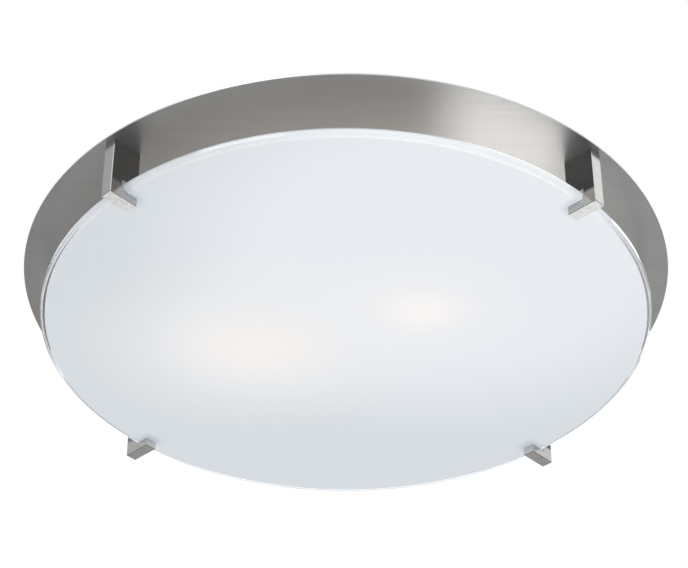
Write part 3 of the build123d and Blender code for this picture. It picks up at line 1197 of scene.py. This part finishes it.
    def cut_hole(self, hole: Hole, bottom: float, top: float) -> Bench:
        """Cuts a round hole or a slot with round ends through the piece.

        Args:
            hole: The hole.
            bottom: The lower end of the cutter.
            top: The upper end of the cutter.

        Returns:
            This bench, for the next step.
        """
        cutter = Bench("cutter").start_cylinder(hole.radius, bottom, top, hole.sides)
        cutter.pick("FACE", hole.is_outer_wall)
        bpy.ops.mesh.select_mode(type="VERT")
        bpy.ops.transform.translate(value=(hole.travel, 0.0, 0.0))
        bpy.ops.object.mode_set(mode="OBJECT")
        out = Matrix.Translation((hole.distance, 0.0, 0.0))
        cutter.piece.data.transform(Matrix.Rotation(hole.angle, 4, "Z") @ out)
        return self.cut_with(cutter.piece)

    def cut_with(self, cutter: bpy.types.Object) -> Bench:
        """Takes a cutter's shape out of the piece, and throws the cutter away.

        Args:
            cutter: The cutter.

        Returns:
            This bench, for the next step.
        """
        self.modify("BOOLEAN", operation="DIFFERENCE", object=cutter, solver="EXACT")
        clear_away(cutter)
        return self

    def modify(self, kind: str, **values: object) -> Bench:
        """Adds a modifier to the piece and applies it.

        Args:
            kind: The modifier's type.
            values: Its settings.

        Returns:
            This bench, for the next step.
        """
        take_up(self.piece)
        bpy.ops.object.modifier_add(type=kind)
        made = self.piece.modifiers[-1]
        for name, value in values.items():
            setattr(made, name, value)
        bpy.ops.object.modifier_apply(modifier=made.name)
        return self

    def ease(self, width: float) -> Bench:
        """Rounds every sharp edge, as tumbling does."""
        limit = math.radians(SHARP_DEGREES)
        return self.modify(
            "BEVEL", width=width, segments=2, limit_method="ANGLE", angle_limit=limit
        )

    def pick(
        self, kind: str, wanted: Callable[[bmesh.types.BMFace | bmesh.types.BMEdge], bool]
    ) -> Bench:
        """Goes to edit mode with only the wanted faces or edges selected.

        Args:
            kind: "FACE" or "EDGE".
            wanted: Says yes or no for each face or edge.

        Returns:
            This bench, for the next step.
        """
        bpy.context.view_layer.objects.active = self.piece
        edit_all(kind, "DESELECT")
        mesh = bmesh.from_edit_mesh(self.piece.data)
        for element in mesh.faces if kind == "FACE" else mesh.edges:
            element.select_set(wanted(element))
        bmesh.update_edit_mesh(self.piece.data)
        return self

    def bevel(self, width: float) -> Bench:
        """Bevels the selected edges with one flat."""
        bpy.ops.mesh.bevel(
            offset=width, offset_type="OFFSET", segments=1, profile=0.5, affect="EDGES"
        )
        return self

    def inset(self, width: float) -> Bench:
        """Insets the selected faces as one region."""
        bpy.ops.mesh.inset(
            thickness=width, depth=0.0, use_boundary=True, use_even_offset=True
        )
        return self

    def done(self, smooth_degrees: float = 35.0, keep_flats: bool = False) -> bpy.types.Object:
        """Ends the work on the piece: merges doubles, turns faces out and shades it by angle.

        Args:
            smooth_degrees: The sharpest bend that is still shaded smooth.
            keep_flats: Whether large faces keep their own normal beside a bevel.

        Returns:
            The finished object.
        """
        bpy.context.view_layer.objects.active = self.piece
        edit_all()
        bpy.ops.mesh.remove_doubles(threshold=SAME_POINT)
        bpy.ops.mesh.normals_make_consistent(inside=False)
        take_up(self.piece)
        bpy.ops.object.shade_smooth_by_angle(angle=math.radians(smooth_degrees))
        if keep_flats:
            self.modify("WEIGHTED_NORMAL", mode="FACE_AREA", keep_sharp=True)
        let_go()
        return self.piece


@dataclass(frozen=True)
class Hole:
    """A hole by its distance and angle from the middle: round, or a slot that runs outwards."""

    radius: float
    distance: float = 0.0
    angle: float = 0.0
    travel: float = 0.0
    sides: int = 32

    @staticmethod
    def is_outer_wall(face: bmesh.types.BMFace) -> bool:
        """Whether a face of the cutter belongs to the half of its wall that travels outwards."""
        return not lies_level(face) and face.calc_center_median().x > -SAME_POINT


@dataclass(frozen=True)
class Bend:
    """A corner of a sheet's outline and the radius that it is bent to."""

    radius: float
    level: float
    bend: float = 0.0

    @property
    def spot(self) -> Vector:
        """The corner as a point of the half section."""
        return Vector((self.radius, self.level))


def sheet_profile(corners: list[Bend], sheet: float, edge: float, steps: int = 8) -> list[Pair]:
    """Draws a spun sheet's closed half section from the corners of its upper side.

    Args:
        corners: The corners from the axis outwards.
        sheet: The thickness.
        edge: How much the outer edge's upper corner is eased.
        steps: How many steps each bend takes.

    Returns:
        The section's points (radius, level), out along the upper side and back along the lower one.
    """
    upper: list[tuple[Vector, Vector]] = [(corners[0].spot, Vector((0.0, 1.0)))]
    for before, here, after in zip(corners, corners[1:], corners[2:]):
        arriving = (here.spot - before.spot).normalized()
        leaving = (after.spot - here.spot).normalized()
        cross = arriving.x * leaving.y - arriving.y * leaving.x
        turn = math.atan2(cross, arriving.dot(leaving))
        side = math.copysign(1.0, turn)
        start = here.spot - arriving * here.bend * math.tan(abs(turn) / 2.0)
        centre = start + Vector((-arriving.y, arriving.x)) * here.bend * side
        for step in range(steps + 1):
            out = (start - centre).copy()
            out.rotate(Matrix.Rotation(turn * step / steps, 2))
            upper.append((centre + out, -out.normalized() * side))
    last = corners[-1].spot
    over = [(point.x, point.y) for point, _ in upper]
    rim = [(last.x - edge, last.y), (last.x, last.y - edge), (last.x, last.y - sheet)]
    lower = [point - normal * sheet for point, normal in reversed(upper)]
    return [*over, *rim, *((point.x, point.y) for point in lower), over[0]]


@dataclass(frozen=True)
class Thread:
    """A thread: its pitch, its depth, and whether it is rolled round, as a lamp's, or cut to a V.

    A V has flats at its crest and root, which its slope and offset cut off.
    """

    pitch: float
    depth: float
    rounded: bool = False
    points: int = 8
    slope: float = 1.25
    offset: float = 0.1

    def levels(self, bottom: float, top: float) -> list[float]:
        """Finds the levels that a profile needs for the thread to show.

        Args:
            bottom: Where the thread starts.
            top: Where it ends.

        Returns:
            The levels, from bottom to top.
        """
        count = math.ceil((top - bottom) / self.pitch * self.points)
        return [bottom + (top - bottom) * step / count for step in range(count + 1)]

    def sink(self, angle: float, level: float, bottom: float, top: float) -> float:
        """Finds how far the surface lies below the crest.

        Args:
            angle: The angle round the axis.
            level: The level along it.
            bottom: Where the thread starts.
            top: Where it ends.

        Returns:
            The depth there, which runs out over the first and last half turn.
        """
        turn = (level / self.pitch - angle / TURN) % 1.0
        if self.rounded:
            wave = 0.5 - 0.5 * math.cos(TURN * turn)
        else:
            wave = min(1.0, max(0.0, self.slope * abs(2.0 * turn - 1.0) - self.offset))
        end = min(level - bottom, top - level) / (0.5 * self.pitch)
        return self.depth * wave * min(1.0, max(0.0, end))


def shaped(radius: float, level: float, outline: Outline) -> Outline:
    """Draws a head of one radius that starts at one level.

    Args:
        radius: The head's radius.
        level: Where it starts.
        outline: Each point's share of the radius and its height above the start.

    Returns:
        The head's profile.
    """
    return tuple((radius * share, level + height) for share, height in outline)


def hand_over(piece: bpy.types.Object, look: Look, body: str, *nodes: str) -> None:
    """Gives a finished piece its finish, its body and the solids that it stands for.

    Args:
        piece: The modelled piece.
        look: Its finish.
        body: The body that it moves with.
        nodes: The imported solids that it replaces.
    """
    piece.data.materials.clear()
    piece.data.materials.append(look.value.material())
    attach(piece, body)
    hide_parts(*nodes)
    LOG.info("piece %s rides on %s, %d faces", piece.name, body, len(piece.data.polygons))


def set_down(
    model: bpy.types.Object, name: str, where: Matrix, look: Look, body: str, *nodes: str
) -> None:
    """Copies a model to its place and hands the copy over.

    Args:
        model: What is copied.
        name: The copy's name.
        where: Moves the model to the copy's place.
        look: The copy's finish.
        body: The body that it moves with.
        nodes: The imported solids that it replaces.
    """
    made = copied(model, name)
    made.data.transform(where)
    hand_over(made, look, body, *nodes)


def clear_away(*models: bpy.types.Object) -> None:
    """Takes models off the bench once their work is done.

    Args:
        models: What is taken away.
    """
    let_go()
    for model in models:
        bpy.data.objects.remove(model)


# ---------------------------------------------------------------------------
# Sub-assemblies
# ---------------------------------------------------------------------------


@dataclass
class GlassDisc:
    """The glass: a disc frosted all over but for a clear polished border."""

    radius: float = 190.5 * MM
    border: float = 3.1 * MM
    joint: float = 0.04 * MM
    arris: float = 1.5 * MM
    rings: Pair = (12.0 * MM, 45.0 * MM)
    sides: int = 288
    lower: float = field(init=False)
    upper: float = field(init=False)

    def __post_init__(self) -> None:
        """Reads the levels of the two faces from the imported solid."""
        low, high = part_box("glass_disc")
        self.lower, self.upper = low.z, high.z

    def build(self) -> None:
        """Models the frosted pane and its clear border."""
        self.frosted_pane()
        self.clear_border()

    def frosted_pane(self) -> None:
        """Models the etched body of the disc, which ends just inside the border."""
        inner = self.radius - self.border + self.joint
        bench = Bench("frosted_pane").start_cylinder(inner, self.lower, self.upper, self.sides)
        bench.pick("FACE", lies_level)
        for ring in self.rings:
            bench.inset(ring)
        hand_over(bench.done(), Look.FROSTED_GLASS, "fixture", "glass_disc")

    def clear_border(self) -> None:
        """Models the clear border: a ring with polished arrises that closes on the frosted body."""
        bench = Bench("clear_border")
        bench.start_cylinder(self.radius, self.lower, self.upper, self.sides)
        bench.pick("EDGE", self.is_rim_edge).bevel(self.arris)
        bench.pick("FACE", lies_level).inset(self.border - self.arris)
        bpy.ops.mesh.bridge_edge_loops()
        hand_over(bench.done(), Look.CLEAR_RIM, "fixture", "glass_disc")

    def is_rim_edge(self, edge: bmesh.types.BMEdge) -> bool:
        """Whether an edge of the cylinder lies level on its outer rim."""
        start, end = (vertex.co for vertex in edge.verts)
        return abs(start.z - end.z) < SAME_POINT and start.xy.length > self.radius - SAME_PLACE


@dataclass
class Canopy:
    """The canopy: a hat spun from one sheet, with the holes and slots that it is punched with.

    The new sheet is thinner by the seat gap, so that the clips' tops don't rub on it.
    """

    sheet: float = 1.2 * MM
    radius: float = 203.2 * MM
    crown: Pair = (128.0 * MM, 138.0 * MM)
    recess: Pair = (70.0 * MM, 73.0 * MM)
    recess_depth: float = 8.0 * MM
    bends: Levels = (2.5 * MM, 2.5 * MM, 9.0 * MM, 5.0 * MM)
    edge: float = 0.25 * MM
    seat_gap: float = 0.01 * MM
    sides: int = 256
    holes: tuple[Hole, ...] = (
        Hole(11.0 * MM, sides=64),
        *(Hole(2.4 * MM, 54.0 * MM, math.radians(angle)) for angle in (90.0, 270.0)),
        *(
            Hole(1.65 * MM, 41.05 * MM, math.atan2(y, x))
            for x in (-23.0, 23.0)
            for y in (-34.0, 34.0)
        ),
    )
    slots: tuple[Hole, ...] = tuple(
        Hole(2.3 * MM, 185.0 * MM, place.angle, travel=12.0 * MM) for place in Place
    )

    def build(self) -> None:
        """Spins the sheet and punches it."""
        low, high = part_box("canopy")
        brim = low.z + self.sheet
        floor = high.z - self.recess_depth
        corners = [
            Bend(0.0, floor),
            Bend(self.recess[0], floor, self.bends[0]),
            Bend(self.recess[1], high.z, self.bends[1]),
            Bend(self.crown[0], high.z, self.bends[2]),
            Bend(self.crown[1], brim, self.bends[3]),
            Bend(self.radius, brim),
        ]
        section = sheet_profile(corners, self.sheet - self.seat_gap, self.edge)
        bench = Bench("spun_canopy").start_profile(section).spin(self.sides)
        bpy.ops.mesh.normals_make_consistent(inside=False)
        for hole in self.holes:
            bench.cut_hole(hole, floor - 3.0 * self.sheet, high.z)
        for slot in self.slots:
            bench.cut_hole(slot, low.z - self.sheet, brim + self.sheet)
        hand_over(bench.done(smooth_degrees=30.0), Look.BRUSHED_NICKEL, "fixture", "canopy")


@dataclass
class InsulationPad:
    """The ring of glass wool in the crown's recess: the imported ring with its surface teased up."""

    voxel: float = 0.9 * MM
    softness: float = 0.6
    soft_rounds: int = 4
    tease: float = 1.1 * MM
    tuft: float = 7.0 * MM
    tuft_detail: int = 3

    def build(self, nodes: dict[str, bpy.types.Object]) -> None:
        """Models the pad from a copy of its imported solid.

        Args:
            nodes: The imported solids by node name.
        """
        wool = bpy.data.textures.new("wool", "CLOUDS")
        wool.noise_scale, wool.noise_depth = self.tuft, self.tuft_detail
        bench = Bench("wool_pad").start_copy(nodes["insulation_pad"])
        bench.modify("REMESH", mode="VOXEL", voxel_size=self.voxel)
        bench.modify("SMOOTH", factor=self.softness, iterations=self.soft_rounds)
        bench.modify(
            "DISPLACE", texture=wool, texture_coords="LOCAL", strength=self.tease, mid_level=1.0
        )
        pad = bench.done(smooth_degrees=80.0)
        hand_over(pad, Look.GLASS_FIBRE, "fixture", "insulation_pad")


@dataclass
class Rivets:
    """The four rivets of the bracket: a domed factory head above and an upset head below."""

    spacing: Pair = (46.0 * MM, 68.0 * MM)
    shank: float = 1.6 * MM
    head: float = 3.0 * MM
    head_height: float = 1.2 * MM
    upset: Outline = (
        (0.0, 0.0),
        (0.72, 0.0),
        (0.97, 0.25 * MM),
        (1.0, 0.6 * MM),
        (0.96, 1.2 * MM),
    )
    dome_step: float = math.pi / 12.0
    sides: int = 32

    def build(self) -> None:
        """Models one rivet and sets it down at the four holes."""
        low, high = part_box("bracket_rivets")
        shoulder = high.z - self.head_height
        dome = [
            (
                self.head * math.cos(step * self.dome_step),
                shoulder + self.head_height * math.sin(step * self.dome_step),
            )
            for step in range(6)
        ]
        upset = shaped(self.head, low.z, self.upset)
        shank = [(self.shank, upset[-1][1]), (self.shank, shoulder)]
        bench = Bench("rivet").start_profile([*upset, *shank, *dome, (0.0, high.z)])
        model = bench.spin(self.sides).done(smooth_degrees=50.0)
        corners = ((1, 1), (1, -1), (-1, 1), (-1, -1))
        for number, (across, along) in enumerate(corners, 1):
            place = (across * self.spacing[0] / 2.0, along * self.spacing[1] / 2.0, 0.0)
            where, name = Matrix.Translation(place), f"rivet_{number}"
            set_down(model, name, where, Look.RIVET_ALUMINIUM, "fixture", "bracket_rivets")
        clear_away(model)


@dataclass
class CanopyStuds:
    """The two threaded studs that hang from the crossbar."""

    radius: float = 2.1 * MM
    place: float = 54.0 * MM
    point: float = 0.5 * MM
    thread: Thread = Thread(0.794 * MM, 0.45 * MM)
    sides: int = 28

    def build(self) -> None:
        """Models one stud and sets it down at both ends of the crossbar."""
        low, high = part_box("canopy_studs")
        ends = (((0.0, low.z), (self.radius - self.point, low.z)), ((0.0, high.z),))
        span = (low.z + self.point, high.z)
        model = Bench("stud").turn_rod(self.thread, self.radius, span, ends, self.sides).done()
        for side, along in (("back", self.place), ("front", -self.place)):
            where, name = Matrix.Translation((0.0, along, 0.0)), f"threaded_stud_{side}"
            set_down(model, name, where, Look.ZINC_STEEL, "fixture", "canopy_studs")
        clear_away(model)


@dataclass
class ClipHardware:
    """What holds each clip to the brim: its threaded stud, and the thumb nut with eased edges."""

    radius: float = 2.0 * MM
    point: float = 0.4 * MM
    thread: Thread = Thread(0.7 * MM, 0.42 * MM)
    sides: int = 24
    easing: float = 0.22 * MM

    def build(self, nodes: dict[str, bpy.types.Object]) -> None:
        """Models the stud and the nut of one clip and sets them down at the four places.

        Args:
            nodes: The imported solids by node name.
        """
        stud = self.model_stud()
        nut = Bench("nut").start_copy(nodes["thumb_nut_back_right"]).ease(self.easing)
        nut = nut.done(smooth_degrees=50.0, keep_flats=True)
        look = Look.NICKEL_HARDWARE
        for place in Place:
            tag, where = place.tag, place.turned
            screw, knob = f"threaded_clip_stud_{tag}", f"fluted_nut_{tag}"
            set_down(stud, screw, where, look, f"clip_{tag}", f"clip_stud_{tag}")
            set_down(nut, knob, where, look, f"thumb_nut_{tag}", f"thumb_nut_{tag}")
        clear_away(stud, nut)

    def model_stud(self) -> bpy.types.Object:
        """Models the stud at the back right place.

        Returns:
            The stud.
        """
        low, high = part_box("clip_stud_back_right")
        centre = (low + high) / 2.0
        ends = (((0.0, low.z),), ((self.radius - self.point, high.z), (0.0, high.z)))
        span = (low.z, high.z - self.point)
        bench = Bench("clip_stud").turn_rod(self.thread, self.radius, span, ends, self.sides)
        stud = bench.done()
        stud.data.transform(Matrix.Translation((centre.x, centre.y, 0.0)))
        return stud


@dataclass
class LampFittings:
    """What a lamp screws into and with: the brass shell, its rolled base and the slotted screws.

    The levels of a base or shell are its foot, its thread's start and end, and its mouth.
    """

    base_thread: Thread = Thread(3.63 * MM, 0.75 * MM, rounded=True, points=10)
    base_radius: float = 13.0 * MM
    base_wall: float = 0.5 * MM
    base_levels: Levels = (4.0 * MM, 6.5 * MM, 21.2 * MM, 27.0 * MM)
    base_foot: float = 10.5 * MM
    shell_thread: Thread = Thread(3.63 * MM, 0.34 * MM, rounded=True, points=10)
    shell_radius: float = 13.8 * MM
    shell_wall: float = 0.34 * MM
    shell_levels: Levels = (7.0 * MM, 9.5 * MM, 27.0 * MM, 30.0 * MM)
    shell_eye: float = 6.0 * MM
    screw_thread: Thread = Thread(0.8 * MM, 0.3 * MM)
    screw_radius: float = 1.5 * MM
    screw_head: float = 2.9 * MM
    screw_outline: Outline = (
        (0.0, 0.0),
        (0.5, 0.0),
        (0.85, 0.35 * MM),
        (1.0, 1.0 * MM),
        (1.0, 1.8 * MM),
    )
    screw_slot: Pair = (0.8 * MM, 0.9 * MM)
    screw_cutter: Pair = (0.03, 1.0 * MM)
    screw_spacing: float = 21.0 * MM
    screw_sides: int = 28
    sides: int = 64

    def build(self) -> None:
        """Models the shell, base and screws once and lays them down on both sides."""
        low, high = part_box("socket_body_left")
        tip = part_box("lamp_contact_left")[1].x
        middle = (low + high) / 2.0
        laid = Matrix(
            (
                (0.0, 0.0, -1.0, 0.0),
                (1.0, 0.0, 0.0, 0.0),
                (0.0, -1.0, 0.0, 0.0),
                (0.0, 0.0, 0.0, 1.0),
            )
        )
        in_socket = Matrix.Translation((high.x, middle.y, middle.z)) @ laid
        in_lamp = Matrix.Translation((tip, middle.y, middle.z)) @ laid
        shell, base, screw = self.model_shell(), self.model_base(), self.model_screw()
        for side in Side:
            tag, where = side.tag, side.turned @ in_socket
            rolled, plated = f"rolled_shell_{tag}", f"rolled_base_{tag}"
            set_down(shell, rolled, where, Look.SOCKET_BRASS, "fixture", f"screw_shell_{tag}")
            turned = side.turned @ in_lamp
            set_down(base, plated, turned, Look.BULB_BASE, f"lamp_{tag}", f"lamp_base_{tag}")
            for number, shift in ((1, -0.5), (2, 0.5)):
                hole = where @ Matrix.Translation((shift * self.screw_spacing, 0.0, 0.0))
                name, node = f"slotted_screw_{tag}_{number}", f"socket_screws_{tag}"
                set_down(screw, name, hole, Look.ZINC_STEEL, "fixture", node)
        clear_away(shell, base, screw)

    def model_shell(self) -> bpy.types.Object:
        """Models the socket's brass shell, standing on its floor with the eye in it.

        Returns:
            The shell.
        """
        floor, start, end, mouth = self.shell_levels
        radius, eye, top = self.shell_radius, self.shell_eye, floor + self.shell_wall
        inner = radius - self.shell_wall
        feet = (((eye, floor), (radius, floor)), ((inner, top), (eye, top), (eye, floor)))
        bench = Bench("shell")
        bench.roll_cup(
            self.shell_thread, (radius, inner), (start, end), mouth, feet, self.sides
        )
        return bench.done(smooth_degrees=60.0)

    def model_base(self) -> bpy.types.Object:
        """Models the lamp's plated base, standing on its tip.

        Returns:
            The base.
        """
        floor, start, end, mouth = self.base_levels
        radii = (self.base_radius, self.base_radius - self.base_wall)
        eye = self.base_foot - self.base_wall
        feet = (((eye, floor), (self.base_foot, floor)), ((eye, floor),))
        bench = Bench("base")
        bench.roll_cup(self.base_thread, radii, (start, end), mouth, feet, self.sides)
        return bench.done(smooth_degrees=60.0)

    def model_screw(self) -> bpy.types.Object:
        """Models a slotted screw whose head lies below the bracket's face.

        Returns:
            The screw.
        """
        low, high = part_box("socket_screws_left")
        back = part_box("socket_body_left")[1].x
        under, end = -(high.x - back), back - low.x
        head = shaped(self.screw_head, under, self.screw_outline)
        span = (head[-1][1], end)
        bench = Bench("screw")
        bench.turn_rod(
            self.screw_thread, self.screw_radius, span, (head, ((0.0, end),)), self.screw_sides
        )
        (wide, deep), (long, past) = self.screw_slot, self.screw_cutter
        return bench.cut_slot(wide, long, under - past, under + deep).done(smooth_degrees=40.0)


@dataclass
class EasedHardware:
    """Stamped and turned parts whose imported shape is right, with the sharp edges eased."""

    easing: float = 0.18 * MM
    parts: ClassVar[dict[str, Look]] = {
        "crossbar": Look.ZINC_STEEL,
        "stud_locknuts": Look.ZINC_STEEL,
        "canopy_nuts": Look.NICKEL_HARDWARE,
        "wire_bushing": Look.NYLON,
    }

    def build(self, nodes: dict[str, bpy.types.Object]) -> None:
        """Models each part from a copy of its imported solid.

        Args:
            nodes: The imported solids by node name.
        """
        for name, look in self.parts.items():
            bench = Bench(f"eased_{name}").start_copy(nodes[name]).ease(self.easing)
            hand_over(bench.done(smooth_degrees=50.0, keep_flats=True), look, "fixture", name)


# ---------------------------------------------------------------------------
# Studio
# ---------------------------------------------------------------------------


@dataclass(frozen=True)
class Softbox:
    """A soft area light: where it stands, what it points at, its size and its power."""

    name: str
    place: Rgb
    aim: Rgb
    wide: float
    high: float
    power: float

    def build(self) -> None:
        """Hangs the softbox in the studio, out of the camera's sight."""
        data = bpy.data.lights.new(self.name, "AREA")
        data.shape, data.size, data.size_y = "RECTANGLE", self.wide, self.high
        data.energy = self.power
        lamp = bpy.data.objects.new(self.name, data)
        lamp.location = self.place
        way = Vector(self.aim) - Vector(self.place)
        lamp.rotation_euler = way.to_track_quat("-Z", "Y").to_euler()
        lamp.visible_camera = False
        bpy.context.scene.collection.objects.link(lamp)


@dataclass(frozen=True)
class Card:
    """A square sheet of the studio: its half side, its place and how finely it is divided."""

    name: str
    half: float
    place: Rgb
    cells: int

    def build(
        self, turn: Euler | Rgb = (0.0, 0.0, 0.0)
    ) -> tuple[bpy.types.Object, Graph, bpy.types.Node]:
        """Adds the sheet and gives it a material.

        Args:
            turn: Its rotation.

        Returns:
            The sheet, its material's graph and the Principled BSDF in it.
        """
        let_go()
        bpy.ops.mesh.primitive_grid_add(
            x_subdivisions=self.cells,
            y_subdivisions=self.cells,
            size=2.0 * self.half,
            location=self.place,
            rotation=turn,
        )
        sheet = bpy.context.object
        sheet.name = self.name
        made = bpy.data.materials.new(f"studio_{self.name}")
        made.use_nodes = True
        sheet.data.materials.append(made)
        return sheet, Graph(made.node_tree), made.node_tree.nodes["Principled BSDF"]


@dataclass
class Studio:
    """A plain pale floor, a pale sky round it, soft lights, and the camera below the light.

    The floor's colour lights the object, and where the camera sees the floor it is paler.
    """

    floor: Card = Card("floor", 30.0, (0.0, 0.0, -2.4), 12)
    floor_colour: Rgb = (0.43, 0.43, 0.43)
    floor_seen: Rgb = (0.86, 0.86, 0.86)
    floor_lift: Rgb = (0.22, 0.22, 0.22)
    floor_worn: Rgb = (0.97, 0.97, 0.97)
    floor_patches: float = 0.8
    floor_roughness: float = 0.9
    flag: Card = Card("flag", 0.6, (-1.39, -0.285, 0.90), 4)
    flag_tone: Rgb = (0.46, 0.46, 0.46)
    flag_weave: float = 3.0
    flag_dark: float = 0.95
    sky_level: float = 0.42
    camera_place: Rgb = (-0.03322, -1.08122, -0.86095)
    camera_aim: Rgb = (0.0, 0.0, -0.057)
    lens: float = 110.97
    sensor: float = 36.0
    shift: Pair = (-0.0029, 0.0105)
    clip: Pair = (0.02, 100.0)
    boxes: ClassVar[tuple[Softbox, ...]] = (
        Softbox("key", (-2.2, -2.0, 1.9), (0.0, 0.0, -0.1), 2.4, 2.4, 40.0),
        Softbox("far_fill", (2.4, 2.2, 1.3), (0.0, 0.0, -0.1), 2.0, 2.0, 25.0),
        Softbox("floor_card", (0.10, 2.72, -2.39), (0.10, 2.72, 0.0), 1.30, 1.00, 5.1),
        Softbox("side_card", (0.95, 2.72, -2.39), (0.95, 2.72, 0.0), 0.40, 1.00, 1.1),
    )

    def build(self) -> None:
        """Builds the floor, the flag, the sky, the softboxes and the camera."""
        self.build_floor()
        self.build_flag()
        self.build_sky()
        for box in self.boxes:
            box.build()
        self.build_camera()

    def build_floor(self) -> None:
        """Lays the floor: a level sheet with the faint unevenness of painted concrete."""
        floor, graph, shader = self.floor.build()
        place = graph.node("TexCoord").outputs["Object"]
        patches = graph.noise(place, self.floor_patches)
        seen = graph.node("LightPath").outputs["Is Camera Ray"]
        paint = graph.mix(seen, self.floor_colour, self.floor_seen)
        worn = graph.mix(1.0, paint, self.floor_worn, "MULTIPLY")
        colour = graph.mix(patches, worn, paint)
        graph.fill(shader, Base_Color=colour, Roughness=self.floor_roughness)
        graph.light_up(shader, graph.mix(seen, BLACK, self.floor_lift))

    def build_flag(self) -> None:
        """Hangs a grey flag up on the left, seen only as a darker reflection in the left clips."""
        turn = (-Vector(self.flag.place)).to_track_quat("Z", "Y").to_euler()
        flag, graph, shader = self.flag.build(turn)
        graph.fill(shader, Base_Color=BLACK, Specular_IOR_Level=0.0)
        place = graph.node("TexCoord").outputs["Object"]
        weave = graph.noise(place, self.flag_weave)
        dark = scaled(self.flag_tone, self.flag_dark)
        graph.light_up(shader, graph.mix(weave, dark, self.flag_tone))
        flag.visible_camera = flag.visible_diffuse = False
        flag.visible_shadow = flag.visible_transmission = False

    def build_sky(self) -> None:
        """Fills the world: its own level, and white where the camera, metal or glass sees it."""
        world = bpy.data.worlds.new("studio_sky")
        bpy.context.scene.world = world
        world.use_nodes = True
        graph = Graph(world.node_tree)
        graph.tree.nodes.clear()
        path = graph.node("LightPath").outputs
        seen = graph.math("ADD", path["Is Camera Ray"], path["Is Glossy Ray"])
        seen = graph.math("ADD", seen, path["Is Transmission Ray"], use_clamp=True)
        level = graph.ramp(seen, to_low=self.sky_level, to_high=1.0)
        back = graph.fill(graph.node("Background"), Color=WHITE, Strength=level)
        graph.fill(graph.node("OutputWorld"), Surface=back.outputs[0])

    def build_camera(self) -> None:
        """Sets the camera where the photograph was taken from: below the light, in front of it."""
        data = bpy.data.cameras.new("camera")
        data.lens, data.sensor_width = self.lens, self.sensor
        data.shift_x, data.shift_y = self.shift
        data.clip_start, data.clip_end = self.clip
        camera = bpy.data.objects.new("camera", data)
        camera.location = self.camera_place
        way = Vector(self.camera_aim) - Vector(self.camera_place)
        camera.rotation_euler = way.to_track_quat("-Z", "Y").to_euler()
        bpy.context.scene.collection.objects.link(camera)
        bpy.context.scene.camera = camera
        bpy.context.scene.view_settings.view_transform = "Standard"


def main() -> None:
    """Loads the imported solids, dresses them, models the fine pieces and sets the studio up."""
    logging.basicConfig(level=logging.INFO, format="%(name)s: %(message)s")
    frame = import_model()
    let_go()
    dress_nodes(frame["nodes"])
    GlassDisc().build()
    Canopy().build()
    InsulationPad().build(frame["nodes"])
    Rivets().build()
    CanopyStuds().build()
    ClipHardware().build(frame["nodes"])
    LampFittings().build()
    EasedHardware().build(frame["nodes"])
    Studio().build()


if __name__ == "__main__":
    main()
